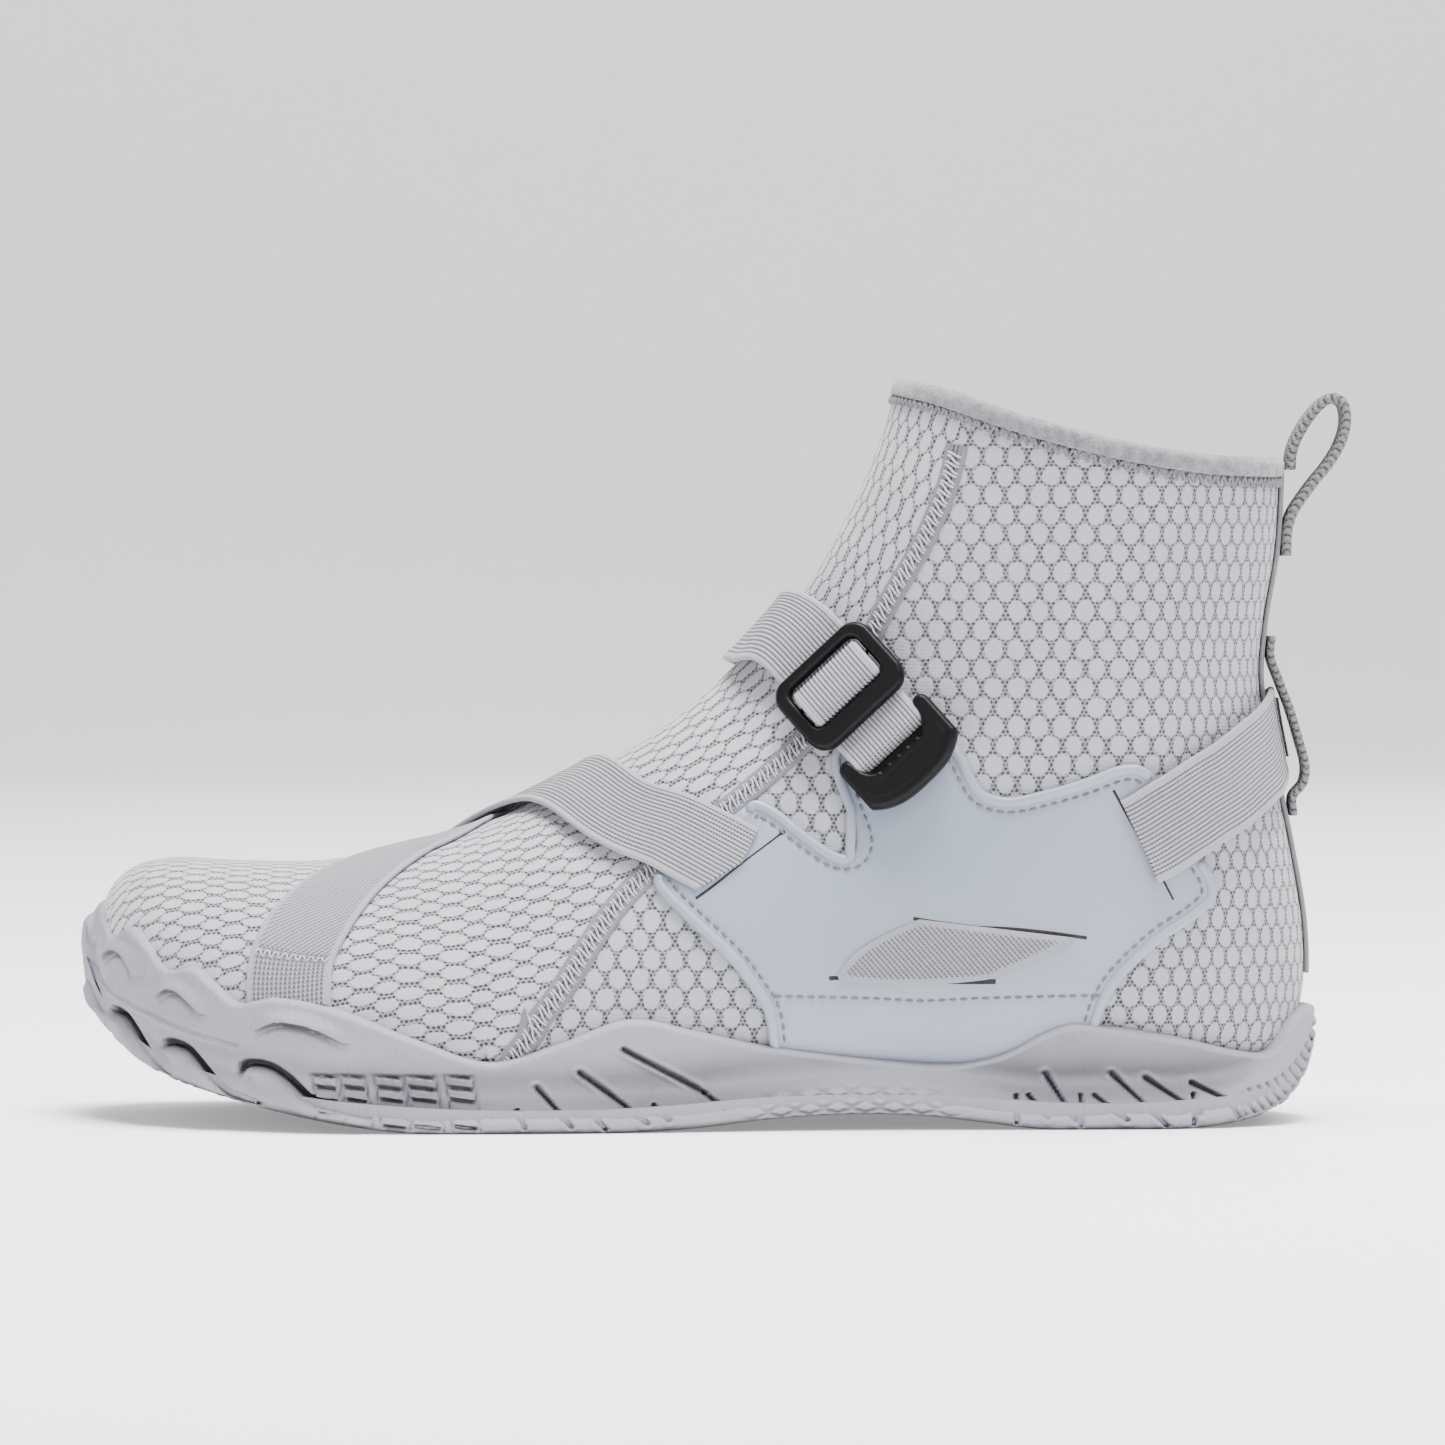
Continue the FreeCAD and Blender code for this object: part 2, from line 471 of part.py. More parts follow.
def build_bands():
    """Flat seams, elastic bands over the foot and the tape up the heel."""
    above_rand = side_region(RAND_TOP, 220.0, drop=-PLAY)
    below_binding = side_region(COLLAR_EDGE, -20.0, drop=BINDING_HEIGHT + PLAY, stretch=220.0)
    for side, name in ((1, "lateral_flatlock_seam"), (-1, "medial_flatlock_seam")):
        keys = [find(x, z, side) for x, z in FRONT_SEAM[1:-1]]
        seam = band(keys, SEAM_WIDTH, SEAM_LAYER, 60, 4)
        keep(name, seam.common(above_rand).common(below_binding).cut(PARTS["vamp_panel"]))
    fore = [find(-96.0, 24.0, 1), find(-95.0, 40.0, 1), find(-85.5, 54.0, 1), find(-72.0, 62.0, 1), (7.55, 0.0),
            find(-47.0, 60.0, -1), find(-35.0, 45.0, -1), find(-29.0, 20.0, -1)]
    keep("forefoot_band", band(fore, STRAP_WIDTH, LOW_BAND_LAYER, 44).common(above_rand))
    instep = [find(6.6, 59.7, 1), find(-8.0, 66.8, 1), find(-22.0, 72.0, 1), (8.75, 0.0), find(-58.0, 57.0, -1),
              find(-75.0, 44.0, -1), find(-81.0, 25.0, -1)]
    keep("instep_strap", band(instep, STRAP_WIDTH, HIGH_BAND_LAYER, 44).common(above_rand))
    start = RUN_OUT - HINGE_RUN
    end = (SLIDE_AT[0] - RUN_X * start, SLIDE_AT[1] - RUN_Z * start)
    ankle = [find(52.0, 76.0, -1), find(45.0, 84.0, -1), find(31.0, 99.0, -1), find(20.0, 109.0, -1), (13.0, 0.0)]
    ankle = [k + (0.0,) for k in ankle] + [find(*end, 1) + (WEB_RISE,)]
    keep("ankle_strap", band(ankle, STRAP_WIDTH, HIGH_BAND_LAYER, 40))
    heel = [find(97.5, 65.6, 1), find(107.0, 71.4, 1), find(116.0, 77.2, 1), find(125.0, 84.0, 1)]
    heel = heel + [(18.42, math.pi)] + [(s, 2 * math.pi - t) for s, t in reversed(heel)]
    keep("heel_strap", band(heel, HEEL_BAND_WIDTH, HIGH_BAND_LAYER, 48))
    tape = [(15.4, math.pi), (17.0, math.pi), (19.0, math.pi), (21.75, math.pi)]
    keep("heel_tape", band(tape, TAPE_WIDTH, LOW_BAND_LAYER, 30).common(above_rand))
    lining = [(18.06, math.pi), (18.4, math.pi), (18.78, math.pi)]
    keep("keeper_lining", band(lining, TAPE_WIDTH, (3.55, 4.05), 8))
    keeper = [(heel_x(z) + out, z) for z, out in KEEPER]
    tape_sides = (HEEL_Y - TAPE_WIDTH / 2, HEEL_Y + TAPE_WIDTH / 2)
    keep("strap_keeper_loop", swept_profile(keeper, WEB_THICK, *tape_sides))
    keep("heel_pull_loop", swept_profile(PULL_LOOP, WEB_THICK, *tape_sides))


def heel_x(z):
    """Where the sock's back line is at a height."""
    low, high = 15.0, 22.5
    for _ in range(40):
        mid = (low + high) / 2
        if station(mid)[3] > z:
            high = mid
        else:
            low = mid
    return station((low + high) / 2)[2]


# ---------------------------------------------------------------- slide, free strap, hook and catch
def buckle_frame():
    """Axes at the slide: run points down the strap, across its width, out away from the ankle."""
    s, turn = find(*SLIDE_AT, 1)
    out = slopes(s, turn)[2]
    run = V(RUN_X, 0, RUN_Z)
    run.y = -(run.x * out.x + run.z * out.z) / out.y
    run.normalize()
    across = out.cross(run)
    origin = sock(s, turn) + out * WEB_RISE
    return FreeCAD.Matrix(run.x, across.x, out.x, origin.x, run.y, across.y, out.y, origin.y,
                          run.z, across.z, out.z, origin.z, 0, 0, 0, 1)


def block(run, across, out):
    """Box from its limits along the strap, across it and away from the ankle."""
    return Part.makeBox(run[1] - run[0], across[1] - across[0], out[1] - out[0], V(run[0], across[0], out[0]))


def rod(run, out, radius, half):
    return Part.makeCylinder(radius, 2 * half, V(run, -half, out), V(0, 1, 0))


def rounded(shape, radius, direction):
    """Edges of a block that run along one direction, rounded."""
    edges = [e for e in shape.Edges if abs(e.tangentAt(e.FirstParameter).dot(direction)) > 0.99]
    return shape.makeFillet(radius, edges)


def build_buckle():
    """Everything on the outer ankle, made flat in the strap's own axes and then placed."""
    place = buckle_frame()
    half = BUCKLE_WIDTH / 2
    eye = BAR_RADIUS + BAR_PLAY
    middle = STRAP_THICK / 2

    strip = block((HINGE_RUN + 0.4, BAR_RUN), (-STRAP_WIDTH / 2, STRAP_WIDTH / 2), (0.0, STRAP_THICK))
    tail = strip.fuse(rod(BAR_RUN, middle, eye + WEB_THICK, STRAP_WIDTH / 2))
    keep("ankle_strap_tail", tail.cut(rod(BAR_RUN, middle, eye, half)).transformed(place))

    frame = rounded(block((-SLIDE_HALF, SLIDE_HALF), (-half, half), (1.75, 4.7)), 4.0, V(0, 0, 1))
    opening = rounded(block((-SLIDE_HALF + 3.0, SLIDE_HALF - 4.6), (3.0 - half, half - 3.0), (0, 9)), 2.0, V(0, 0, 1))
    frame = frame.cut(opening).fuse(rod(-1.5, 3.95, 0.75, half - 2.5))
    keep("slide_buckle", frame.transformed(place))
    fold_half = STRAP_WIDTH / 2 - 0.4
    fold = rod(-1.5, 3.95, 2.05, fold_half).fuse(rod(1.2, 3.95, 2.05, fold_half))
    fold = fold.fuse(block((-1.5, 1.2), (-fold_half, fold_half), (1.9, 6.0)))
    hole = rod(-1.5, 3.95, 0.95, half).fuse(rod(1.2, 3.95, 0.95, half))
    hole = hole.fuse(block((-1.5, 1.2), (-half, half), (3.0, 4.9)))
    keep("slide_strap_fold", fold.cut(hole).transformed(place))

    plate = block((BAR_RUN + eye + WEB_THICK + BAR_PLAY, HOOK_END_RUN), (-half, half), (-0.6, 2.9))
    plate = rounded(plate, 2.5, V(0, 0, 1))
    plate = plate.cut(block((23.4, 27.6), (-8.6, 8.6), (-2.0, 1.1)))
    for across in ((-half, 2.7 - half), (half - 2.7, half)):
        plate = plate.fuse(block((13.8, 23.0), across, (-0.3, 2.9)))
    plate = plate.fuse(rod(BAR_RUN, middle, BAR_RADIUS, half - 1.0))
    keep("strap_hook", plate.transformed(place))
    seat = block((HINGE_RUN, BAR_RUN + 3.0), (-STRAP_WIDTH / 2 - 0.4, STRAP_WIDTH / 2 + 0.4), (-0.2, 4.0))
    seat = seat.fuse(rod(BAR_RUN, middle, eye + WEB_THICK + 0.2, STRAP_WIDTH / 2 + 0.4))
    seat = seat.fuse(block((BAR_RUN + 2.0, HOOK_END_RUN + 1.0), (-half - 0.5, half + 0.5), (-0.9, 4.0)))
    for name in ("lateral_overlay", "lateral_overlay_piping"):
        keep(name, PARTS[name].cut(seat.transformed(place)))
    rib = block((24.2, 26.8), (-7.6, 7.6), (-12.0, 0.6)).transformed(place)
    keep("hook_catch", rib.cut(sock_body(OVERLAY_LAYER[1] + 0.15, 0.0, -1.5, 0.3)))


build_sock()
build_sole()
overlay(1)
overlay(-1)
build_bands()
build_buckle()

os.makedirs("parts", exist_ok=True)
for name, shape in PARTS.items():
    shape.exportStep("parts/" + name + ".step")
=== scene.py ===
"""Left ankle-high neoprene water boot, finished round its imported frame.

Lengths in this file are millimetres until a mesh is written, and metres in the mesh. The boot stands with its
toe towards -X, its outer side towards -Y and +Z up, on the ground plane.
"""
import math

import bpy
import numpy as np
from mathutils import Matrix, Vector


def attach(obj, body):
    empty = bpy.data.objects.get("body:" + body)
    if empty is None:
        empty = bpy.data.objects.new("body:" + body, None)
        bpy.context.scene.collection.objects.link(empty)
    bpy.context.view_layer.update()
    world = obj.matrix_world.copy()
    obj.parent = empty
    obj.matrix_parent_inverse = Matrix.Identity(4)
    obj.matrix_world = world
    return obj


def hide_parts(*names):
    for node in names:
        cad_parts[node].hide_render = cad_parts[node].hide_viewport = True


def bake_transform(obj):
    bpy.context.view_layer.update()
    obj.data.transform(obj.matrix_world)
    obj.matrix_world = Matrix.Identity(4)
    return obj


bl_info = {
    "name": "Neoprene water boot",
    "version": (1, 0, 0),
    "blender": (4, 5, 0),
    "location": "3D View > Sidebar > Boot",
    "description": "Builds a strapped neoprene water boot piece by piece round its packed frame",
    "category": "Add Mesh",
}

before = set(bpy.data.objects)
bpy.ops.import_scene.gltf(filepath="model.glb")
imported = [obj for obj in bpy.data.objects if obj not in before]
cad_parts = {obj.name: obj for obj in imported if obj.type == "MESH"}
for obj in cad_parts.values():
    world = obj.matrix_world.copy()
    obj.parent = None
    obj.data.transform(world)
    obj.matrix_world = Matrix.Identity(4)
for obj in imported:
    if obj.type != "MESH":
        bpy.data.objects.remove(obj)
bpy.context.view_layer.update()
MM = 0.001
# Lifts off the sock's surface, in millimetres
FACE_LIFT, LINING_LIFT, RAND_LIFT = -0.1, -3.0, 3.2
# Cover of the straps with 1 mm ribs
RIBBED = {"ribs": 0.07, "selvedge": 0.14}

# ---------------------------------------------------------------- the sock's surface
# Each row is one station: front x and z, back x and z, outer y, inner y, ridge shift, height share of the
# widest place, and the powers that round the section below and above it.
STATIONS = np.array([
    (-144.0, 43.5, -144.0, 34.5, 9.0, 25.0, 0.0, 0.50, 2.2, 2.1),
    (-142.6, 49.0, -142.6, 31.0, 2.0, 31.0, 0.5, 0.48, 2.3, 2.1),
    (-139.6, 54.5, -139.6, 26.8, -8.5, 37.5, 1.0, 0.44, 2.5, 2.2),
    (-134.0, 58.5, -134.5, 21.8, -18.0, 42.5, 2.0, 0.38, 2.7, 2.3),
    (-125.0, 60.2, -125.5, 16.6, -28.5, 46.0, 3.0, 0.34, 2.9, 2.3),
    (-111.0, 59.6, -111.5, 12.4, -38.0, 48.0, 4.5, 0.30, 3.0, 2.3),
    (-92.0, 59.6, -92.0, 8.3, -44.8, 48.3, 6.0, 0.28, 3.1, 2.2),
    (-72.0, 62.8, -69.0, 6.3, -48.2, 47.0, 7.0, 0.27, 3.1, 2.1),
    (-52.0, 68.8, -44.0, 5.4, -47.6, 42.5, 6.5, 0.27, 3.1, 2.0),
    (-32.0, 78.5, -17.0, 5.8, -44.8, 36.5, 6.0, 0.28, 3.0, 2.0),
    (-14.0, 89.0, 16.0, 8.0, -40.8, 33.0, 5.0, 0.30, 3.0, 2.0),
    (-1.5, 98.8, 50.0, 8.0, -36.8, 31.0, 4.0, 0.34, 3.0, 2.05),
    (6.5, 106.5, 85.0, 5.6, -35.2, 30.6, 3.0, 0.38, 2.9, 2.1),
    (12.8, 113.0, 114.0, 6.8, -34.6, 31.0, 2.0, 0.42, 2.8, 2.15),
    (17.6, 118.0, 130.5, 13.5, -34.2, 31.4, 1.5, 0.45, 2.6, 2.2),
    (21.2, 122.2, 136.8, 27.5, -33.8, 31.8, 1.0, 0.48, 2.3, 2.2),
    (25.0, 128.2, 137.4, 44.0, -33.8, 32.2, 1.0, 0.50, 2.2, 2.2),
    (28.6, 135.0, 134.4, 63.0, -34.4, 33.0, 0.5, 0.50, 2.15, 2.2),
    (32.2, 141.8, 130.4, 82.0, -34.8, 33.6, 0.5, 0.50, 2.15, 2.2),
    (35.2, 148.2, 127.2, 101.0, -34.8, 33.8, 0.0, 0.50, 2.15, 2.2),
    (37.8, 154.6, 128.2, 116.0, -34.4, 33.4, 0.0, 0.50, 2.15, 2.2),
    (40.2, 161.4, 130.8, 132.0, -34.0, 33.0, 0.0, 0.50, 2.15, 2.2),
    (42.8, 169.5, 131.8, 150.5, -33.8, 32.8, 0.0, 0.50, 2.15, 2.2),
    (46.0, 181.0, 132.2, 171.0, -33.8, 32.8, 0.0, 0.50, 2.15, 2.2)])
LAST = len(STATIONS) - 1
STATION_PLACES = np.arange(LAST + 1.0)

# Side-view lines, as x and z
GROUND = np.array([(-150.0, 44.0), (-147.4, 36.0), (-145.0, 27.0), (-139.5, 20.6), (-131.5, 14.8), (-122.5, 10.8),
                   (-108.0, 6.8), (-92.0, 3.2), (-78.0, 1.0), (-66.0, 0.0), (-42.0, 0.0), (-18.0, 0.0),
                   (-2.0, 0.9), (14.0, 2.7), (31.0, 3.6), (48.0, 3.2), (62.0, 1.6), (76.0, 0.0), (93.0, 0.0),
                   (110.0, 0.0), (122.0, 1.5), (131.0, 4.6), (137.0, 10.5), (140.2, 18.0), (141.5, 26.0)])
FLOOR = np.array([(-147.0, 40.0), (-142.8, 31.2), (-139.6, 27.0), (-134.5, 22.0), (-125.5, 16.8), (-111.5, 12.6),
                  (-92.0, 8.5), (-69.0, 6.5), (-44.0, 5.6), (-17.0, 6.0), (16.0, 8.2), (50.0, 8.2), (85.0, 6.2),
                  (114.0, 7.0), (128.0, 9.0), (142.0, 12.0)])
RAND_TOP = np.array([(-152.0, 44.0), (-147.0, 48.0), (-143.3, 50.0), (-139.5, 43.0), (-134.8, 45.0),
                     (-130.0, 41.0), (-125.6, 36.0), (-119.0, 36.6), (-113.5, 32.5), (-108.6, 29.0),
                     (-99.5, 30.4), (-86.0, 28.0), (-66.0, 20.6), (-50.0, 15.8), (-34.0, 20.0), (-18.0, 25.3),
                     (-2.7, 22.5), (13.0, 19.1), (42.6, 15.2), (56.0, 14.6), (66.3, 16.7), (76.3, 21.8),
                     (83.0, 23.8), (105.6, 20.7), (123.0, 16.8), (130.4, 17.0), (137.0, 25.0), (144.0, 27.5)])
COLLAR_EDGE = np.array([(30.0, 176.0), (43.0, 171.2), (52.0, 168.8), (70.0, 162.6), (90.0, 157.2),
                        (110.0, 153.6), (126.0, 152.6), (140.0, 152.8)])
FRONT_SEAM = np.array([(-54.0, 2.0), (-46.5, 14.5), (-38.5, 26.0), (-32.6, 34.5), (-29.0, 40.5), (-19.7, 53.3),
                       (-6.0, 65.5), (7.3, 76.0), (19.5, 86.8), (30.0, 100.0), (37.5, 114.0), (41.5, 121.8),
                       (48.0, 133.0), (54.0, 147.0), (57.0, 160.0), (58.0, 180.0)])
# The sole's plan outline: x, outer y, inner y
SOLE_PLAN = np.array([(-147.8, 16.0, 18.0), (-146.6, 8.0, 27.0), (-143.6, -2.0, 34.0), (-137.6, -14.0, 41.5),
                      (-129.0, -26.5, 47.0), (-117.0, -37.0, 50.4), (-102.0, -45.0, 51.8), (-84.0, -50.0, 51.9),
                      (-64.0, -51.9, 50.4), (-42.0, -51.2, 46.2), (-18.0, -48.0, 40.6), (8.0, -43.4, 35.8),
                      (34.0, -40.0, 33.4), (60.0, -38.4, 33.6), (86.0, -37.6, 34.2), (106.0, -35.8, 32.8),
                      (122.0, -30.4, 27.6), (133.0, -21.6, 19.0), (139.4, -8.0, 6.0), (140.6, -1.0, -1.0)])


SIDE_NAMES = {1: "lateral", -1: "medial"}


def sided(side, name):
    """A piece's name with the side it is on: 1 is the outer side, -1 the inner."""
    return SIDE_NAMES[side] + "_" + name


def through(places, values, u):
    """Smooth curve through values at places: cubic pieces whose slopes come from each key's two neighbours."""
    places, values, u = np.asarray(places, float), np.asarray(values, float), np.asarray(u, float)
    last = len(places) - 1
    before, after = np.maximum(np.arange(last + 1) - 1, 0), np.minimum(np.arange(last + 1) + 1, last)
    gap = places[after] - places[before]
    slope = (values[after] - values[before]) / (gap if values.ndim == 1 else gap[:, None])
    i = np.clip(np.searchsorted(places, u, side="right") - 1, 0, last - 1)
    step = places[i + 1] - places[i]
    w = (u - places[i]) / step
    if values.ndim > 1:
        step, w = step[..., None], w[..., None]
    return (values[i] * (2 * w ** 3 - 3 * w ** 2 + 1) + slope[i] * step * (w ** 3 - 2 * w ** 2 + w)
            + values[i + 1] * (3 * w ** 2 - 2 * w ** 3) + slope[i + 1] * step * (w ** 3 - w ** 2))


def at_x(line, x):
    """Height of a side-view line at x."""
    return through(line[:, 0], line[:, 1], np.clip(x, line[0, 0], line[-1, 0]))


def sock(s, turn, lift=0.0):
    """Point of the sock's face: along the station's line from back to front by the section's height, and
    across it by the section's width, both from |cos|^p + |sin|^p = 1. Lift moves it out along the normal."""
    s, turn = np.broadcast_arrays(np.asarray(s, float), np.asarray(turn, float))
    fx, fz, bx, bz, outer, inner, ridge, wide, low, high = np.moveaxis(through(STATION_PLACES, STATIONS, s), -1, 0)
    c, sn = np.cos(turn), np.sin(turn)
    power = np.where(c >= 0, high, low)
    r = (np.abs(c) ** power + np.abs(sn) ** power) ** (-1.0 / power)
    share = np.where(c >= 0, wide + (1 - wide) * r * c, wide + wide * r * c)
    rise = np.maximum(0.0, (share - wide) / (1 - wide))
    y = (outer + inner) / 2 + ridge * rise ** 2 - (inner - outer) / 2 * r * sn
    p = np.stack([bx + (fx - bx) * share, y, bz + (fz - bz) * share], -1)
    if np.ndim(lift) or lift:
        p = p + slopes(s, turn)[2] * np.asarray(lift, float)[..., None]
    return p


def unit(v):
    """Vectors made one long."""
    return v / np.maximum(np.linalg.norm(v, axis=-1, keepdims=True), 1e-12)


def slopes(s, turn):
    """The sock's slope along the foot, its slope round the section and its outward normal."""
    along = (sock(s + 0.01, turn) - sock(s - 0.01, turn)) / 0.02
    around = (sock(s, turn + 0.002) - sock(s, turn - 0.002)) / 0.004
    return along, around, unit(np.cross(around, along))


def halve(low, high, above, steps=40):
    """Where above(x) turns true between low and high, for whole arrays at once."""
    low, high = np.array(low, float), np.array(high, float)
    for _ in range(steps):
        mid = (low + high) / 2
        up = above(mid)
        high = np.where(up, mid, high)
        low = np.where(up, low, mid)
    return (low + high) / 2


def station_at(x, z):
    """Station whose side-view line passes through each point."""
    def passed(s):
        fx, fz, bx, bz = np.moveaxis(through(STATION_PLACES, STATIONS[:, :4], s), -1, 0)
        return (x - bx) * (fz - bz) - (z - bz) * (fx - bx) < 0
    return halve(np.zeros(np.shape(x)), np.full(np.shape(x), LAST - 0.01), passed, 30)


def find(x, z, side=1):
    """Station and turn of the face at side-view x and z, on the outer side (1) or the inner side (-1)."""
    x, z = np.broadcast_arrays(np.asarray(x, float), np.asarray(z, float))
    s = station_at(x, z)
    fx, fz, bx, bz = np.moveaxis(through(STATION_PLACES, STATIONS[:, :4], s), -1, 0)
    span = (fx - bx) ** 2 + (fz - bz) ** 2
    share = ((x - bx) * (fx - bx) + (z - bz) * (fz - bz)) / span

    def below(turn):
        p = sock(s, turn)
        return ((p[..., 0] - bx) * (fx - bx) + (p[..., 2] - bz) * (fz - bz)) / span < share
    return s, side * halve(np.zeros(x.shape), np.full(x.shape, math.pi), below)


# ---------------------------------------------------------------- meshes from grids
def write_mesh(name, points, quads, uv=None, values=None, inside=None, crease=35.0):
    """Object from points in millimetres and four-cornered faces, with a place on the cloth in millimetres and
    named values for each point. Faces whose index is in inside use material 1."""
    loops = quads.ravel().astype(np.int32)
    starts = np.arange(len(quads)) * 4
    mesh = bpy.data.meshes.new(name)
    mesh.vertices.add(len(points))
    mesh.vertices.foreach_set("co", (np.asarray(points, float) * MM).astype(np.float32).ravel())
    mesh.loops.add(len(loops))
    mesh.loops.foreach_set("vertex_index", loops)
    mesh.polygons.add(len(starts))
    mesh.polygons.foreach_set("loop_start", starts.astype(np.int32))
    mesh.polygons.foreach_set("use_smooth", np.ones(len(starts), bool))
    if inside is not None:
        index = np.zeros(len(starts), np.int32)
        index[inside] = 1
        mesh.polygons.foreach_set("material_index", index)
    mesh.update(calc_edges=True)
    if uv is not None:
        layer = mesh.uv_layers.new(name="cloth")
        layer.data.foreach_set("uv", np.asarray(uv, np.float32)[loops].ravel())
    for key, data in (values or {}).items():
        mesh.attributes.new(key, "FLOAT", "POINT").data.foreach_set("value", np.asarray(data, np.float32).ravel())
    mesh.validate()
    mesh.set_sharp_from_angle(angle=math.radians(crease))
    piece = bpy.data.objects.new(name, mesh)
    bpy.context.scene.collection.objects.link(piece)
    return piece


def grid_faces(rows, columns, wrap_rows=False, wrap_columns=False):
    """Corner numbers of the squares between neighbouring points of a grid."""
    i = np.arange(rows if wrap_rows else rows - 1)
    j = np.arange(columns if wrap_columns else columns - 1)
    i, j = (a.ravel() for a in np.meshgrid(i, j, indexing="ij"))
    a, b = i * columns + j, i * columns + (j + 1) % columns
    c, d = ((i + 1) % rows) * columns + (j + 1) % columns, ((i + 1) % rows) * columns + j
    return np.stack([a, b, c, d], -1)


def slab(name, outer, inner, uv=None, values=None, flip=False, **more):
    """Closed piece between an outer and an inner grid of the same size, joined round their rims."""
    rows, columns = outer.shape[:2]
    count = rows * columns
    top = grid_faces(rows, columns)
    rim = np.concatenate([np.arange(columns), np.arange(1, rows) * columns + columns - 1,
                          (rows - 1) * columns + np.arange(columns - 2, -1, -1),
                          np.arange(rows - 2, 0, -1) * columns])
    after = np.roll(rim, -1)
    sides = np.stack([rim, rim + count, after + count, after], -1)
    quads = np.concatenate([top, top[:, ::-1] + count, sides])
    if flip:
        quads = quads[:, ::-1]
    points = np.concatenate([outer.reshape(-1, 3), inner.reshape(-1, 3)])
    if uv is not None:
        uv = np.concatenate([uv.reshape(-1, 2)] * 2)
    values = {k: np.concatenate([v.ravel(), v.ravel()]) for k, v in (values or {}).items()}
    return write_mesh(name, points, quads, uv=uv, values=values,
                      inside=np.arange(len(top), 2 * len(top)), **more)


def tubes(name, paths, across, radius, sides=6, squash=1.0):
    """Round threads: each path is a row of points, across a vector to measure the ring from. The ends taper to
    a point. Squash flattens the ring along the across vector."""
    m, k = paths.shape[:2]
    along = unit(np.gradient(paths, axis=1))
    a = unit(across - (across * along).sum(-1, keepdims=True) * along)
    b = np.cross(along, a)
    size = np.broadcast_to(np.asarray(radius, float), (m, k)).copy()
    size[:, [0, -1]] *= 0.02
    turn = np.arange(sides) * 2 * math.pi / sides
    ring = (np.cos(turn)[:, None] * a[:, :, None, :] * squash + np.sin(turn)[:, None] * b[:, :, None, :])
    points = paths[:, :, None, :] + ring * size[:, :, None, None]
    i = np.arange(sides // 2 - 1)
    ends = np.stack([i, sides - 1 - i, sides - 2 - i, i + 1], -1)
    one = np.concatenate([grid_faces(k, sides, wrap_columns=True), ends, (k - 1) * sides + ends[:, ::-1]])
    quads = (one[None] + (np.arange(m) * k * sides)[:, None, None]).reshape(-1, 4)
    return write_mesh(name, points.reshape(-1, 3), quads, crease=60.0)


def smoothstep(low, high, x):
    """0 below low, 1 above high, and an even curve between."""
    w = np.clip((x - low) / (high - low), 0, 1)
    return w * w * (3 - 2 * w)


def noise(x, y, seed):
    """Soft random height from -1 to 1: a few layers of waves whose directions come from a fixed seed."""
    rng = np.random.default_rng(seed)
    total = np.zeros(np.broadcast(x, y).shape)
    for octave in range(3):
        for _ in range(5):
            angle, phase = rng.uniform(0, 2 * math.pi, 2)
            pace = 2.0 ** octave * rng.uniform(0.7, 1.3)
            total += np.sin(pace * (x * math.cos(angle) + y * math.sin(angle)) + phase) / 2.0 ** octave
    return total / 6.0


def to_line(px, pz, line):
    """Distance from points to a chain of straight runs, and how far along it the nearest place is."""
    best, place, run = np.full(np.shape(px), 1e9), np.zeros(np.shape(px)), 0.0
    for (x0, z0), (x1, z1) in zip(line[:-1], line[1:]):
        dx, dz = x1 - x0, z1 - z0
        length = math.hypot(dx, dz)
        w = np.clip(((px - x0) * dx + (pz - z0) * dz) / length ** 2, 0, 1)
        d = np.hypot(px - x0 - w * dx, pz - z0 - w * dz)
        place = np.where(d < best, run + w * length, place)
        best = np.minimum(best, d)
        run += length
    return best, place


def smooth_line(points, step=0.6, closed=False):
    """Smooth curve through a few points, as points about one step apart."""
    points = np.asarray(points, float)
    if closed:
        points = np.concatenate([points[-2:], points, points[:3]])
    places = np.concatenate([[0], np.cumsum(np.linalg.norm(np.diff(points, axis=0), axis=1))])
    low, high = (places[2], places[-3]) if closed else (0.0, places[-1])
    count = max(4, int((high - low) / step))
    return through(places, points, np.linspace(low, high, count, endpoint=not closed))


def arc_length(points, axis):
    """Running length along one direction of a grid of points."""
    step = np.linalg.norm(np.diff(points, axis=axis), axis=-1)
    return np.concatenate([np.zeros_like(np.take(step, [0], axis)), np.cumsum(step, axis=axis)], axis)


# ---------------------------------------------------------------- straps, sheets and cut shapes
def at_stations(line, side=1):
    """Stations and turns of a side-view line, as rows a strap can follow."""
    line = np.asarray(line, float)
    return np.stack(find(line[:, 0], line[:, 1], side) + (np.zeros(len(line)),), -1)


def key(x, z, side, lift=0.0):
    """One place a strap's middle line goes through."""
    s, turn = find(x, z, side)
    return float(s), float(turn), lift


def ribbon(keys):
    """A strap's own coordinates over the sock: place(a, v, h) is the point a along its middle line, v across
    and h above the surface. Returns place and the line's length."""
    keys = np.array([tuple(k) + (0.0,) * (3 - len(k)) for k in keys], float)
    u = np.linspace(0, len(keys) - 1, 500)
    s, turn, lift = through(np.arange(len(keys)), keys, u).T
    along, around, out = slopes(s, turn)
    run = unit(along * np.gradient(s, u)[:, None] + around * np.gradient(turn, u)[:, None])
    side = unit(np.cross(out, run))
    aa, bb, ab = (along ** 2).sum(-1), (around ** 2).sum(-1), (along * around).sum(-1)
    pa, pb = (along * side).sum(-1), (around * side).sum(-1)
    det = aa * bb - ab ** 2
    data = np.stack([s, turn, lift, (pa * bb - pb * ab) / det, (pb * aa - pa * ab) / det])
    length = arc_length(sock(s, turn, lift), 0)

    def place(a, v, h):
        s, turn, lift, gs, gt = (np.interp(a, length, row) for row in data)
        return sock(s + gs * v, turn + gt * v, lift + h)
    return place, length[-1]


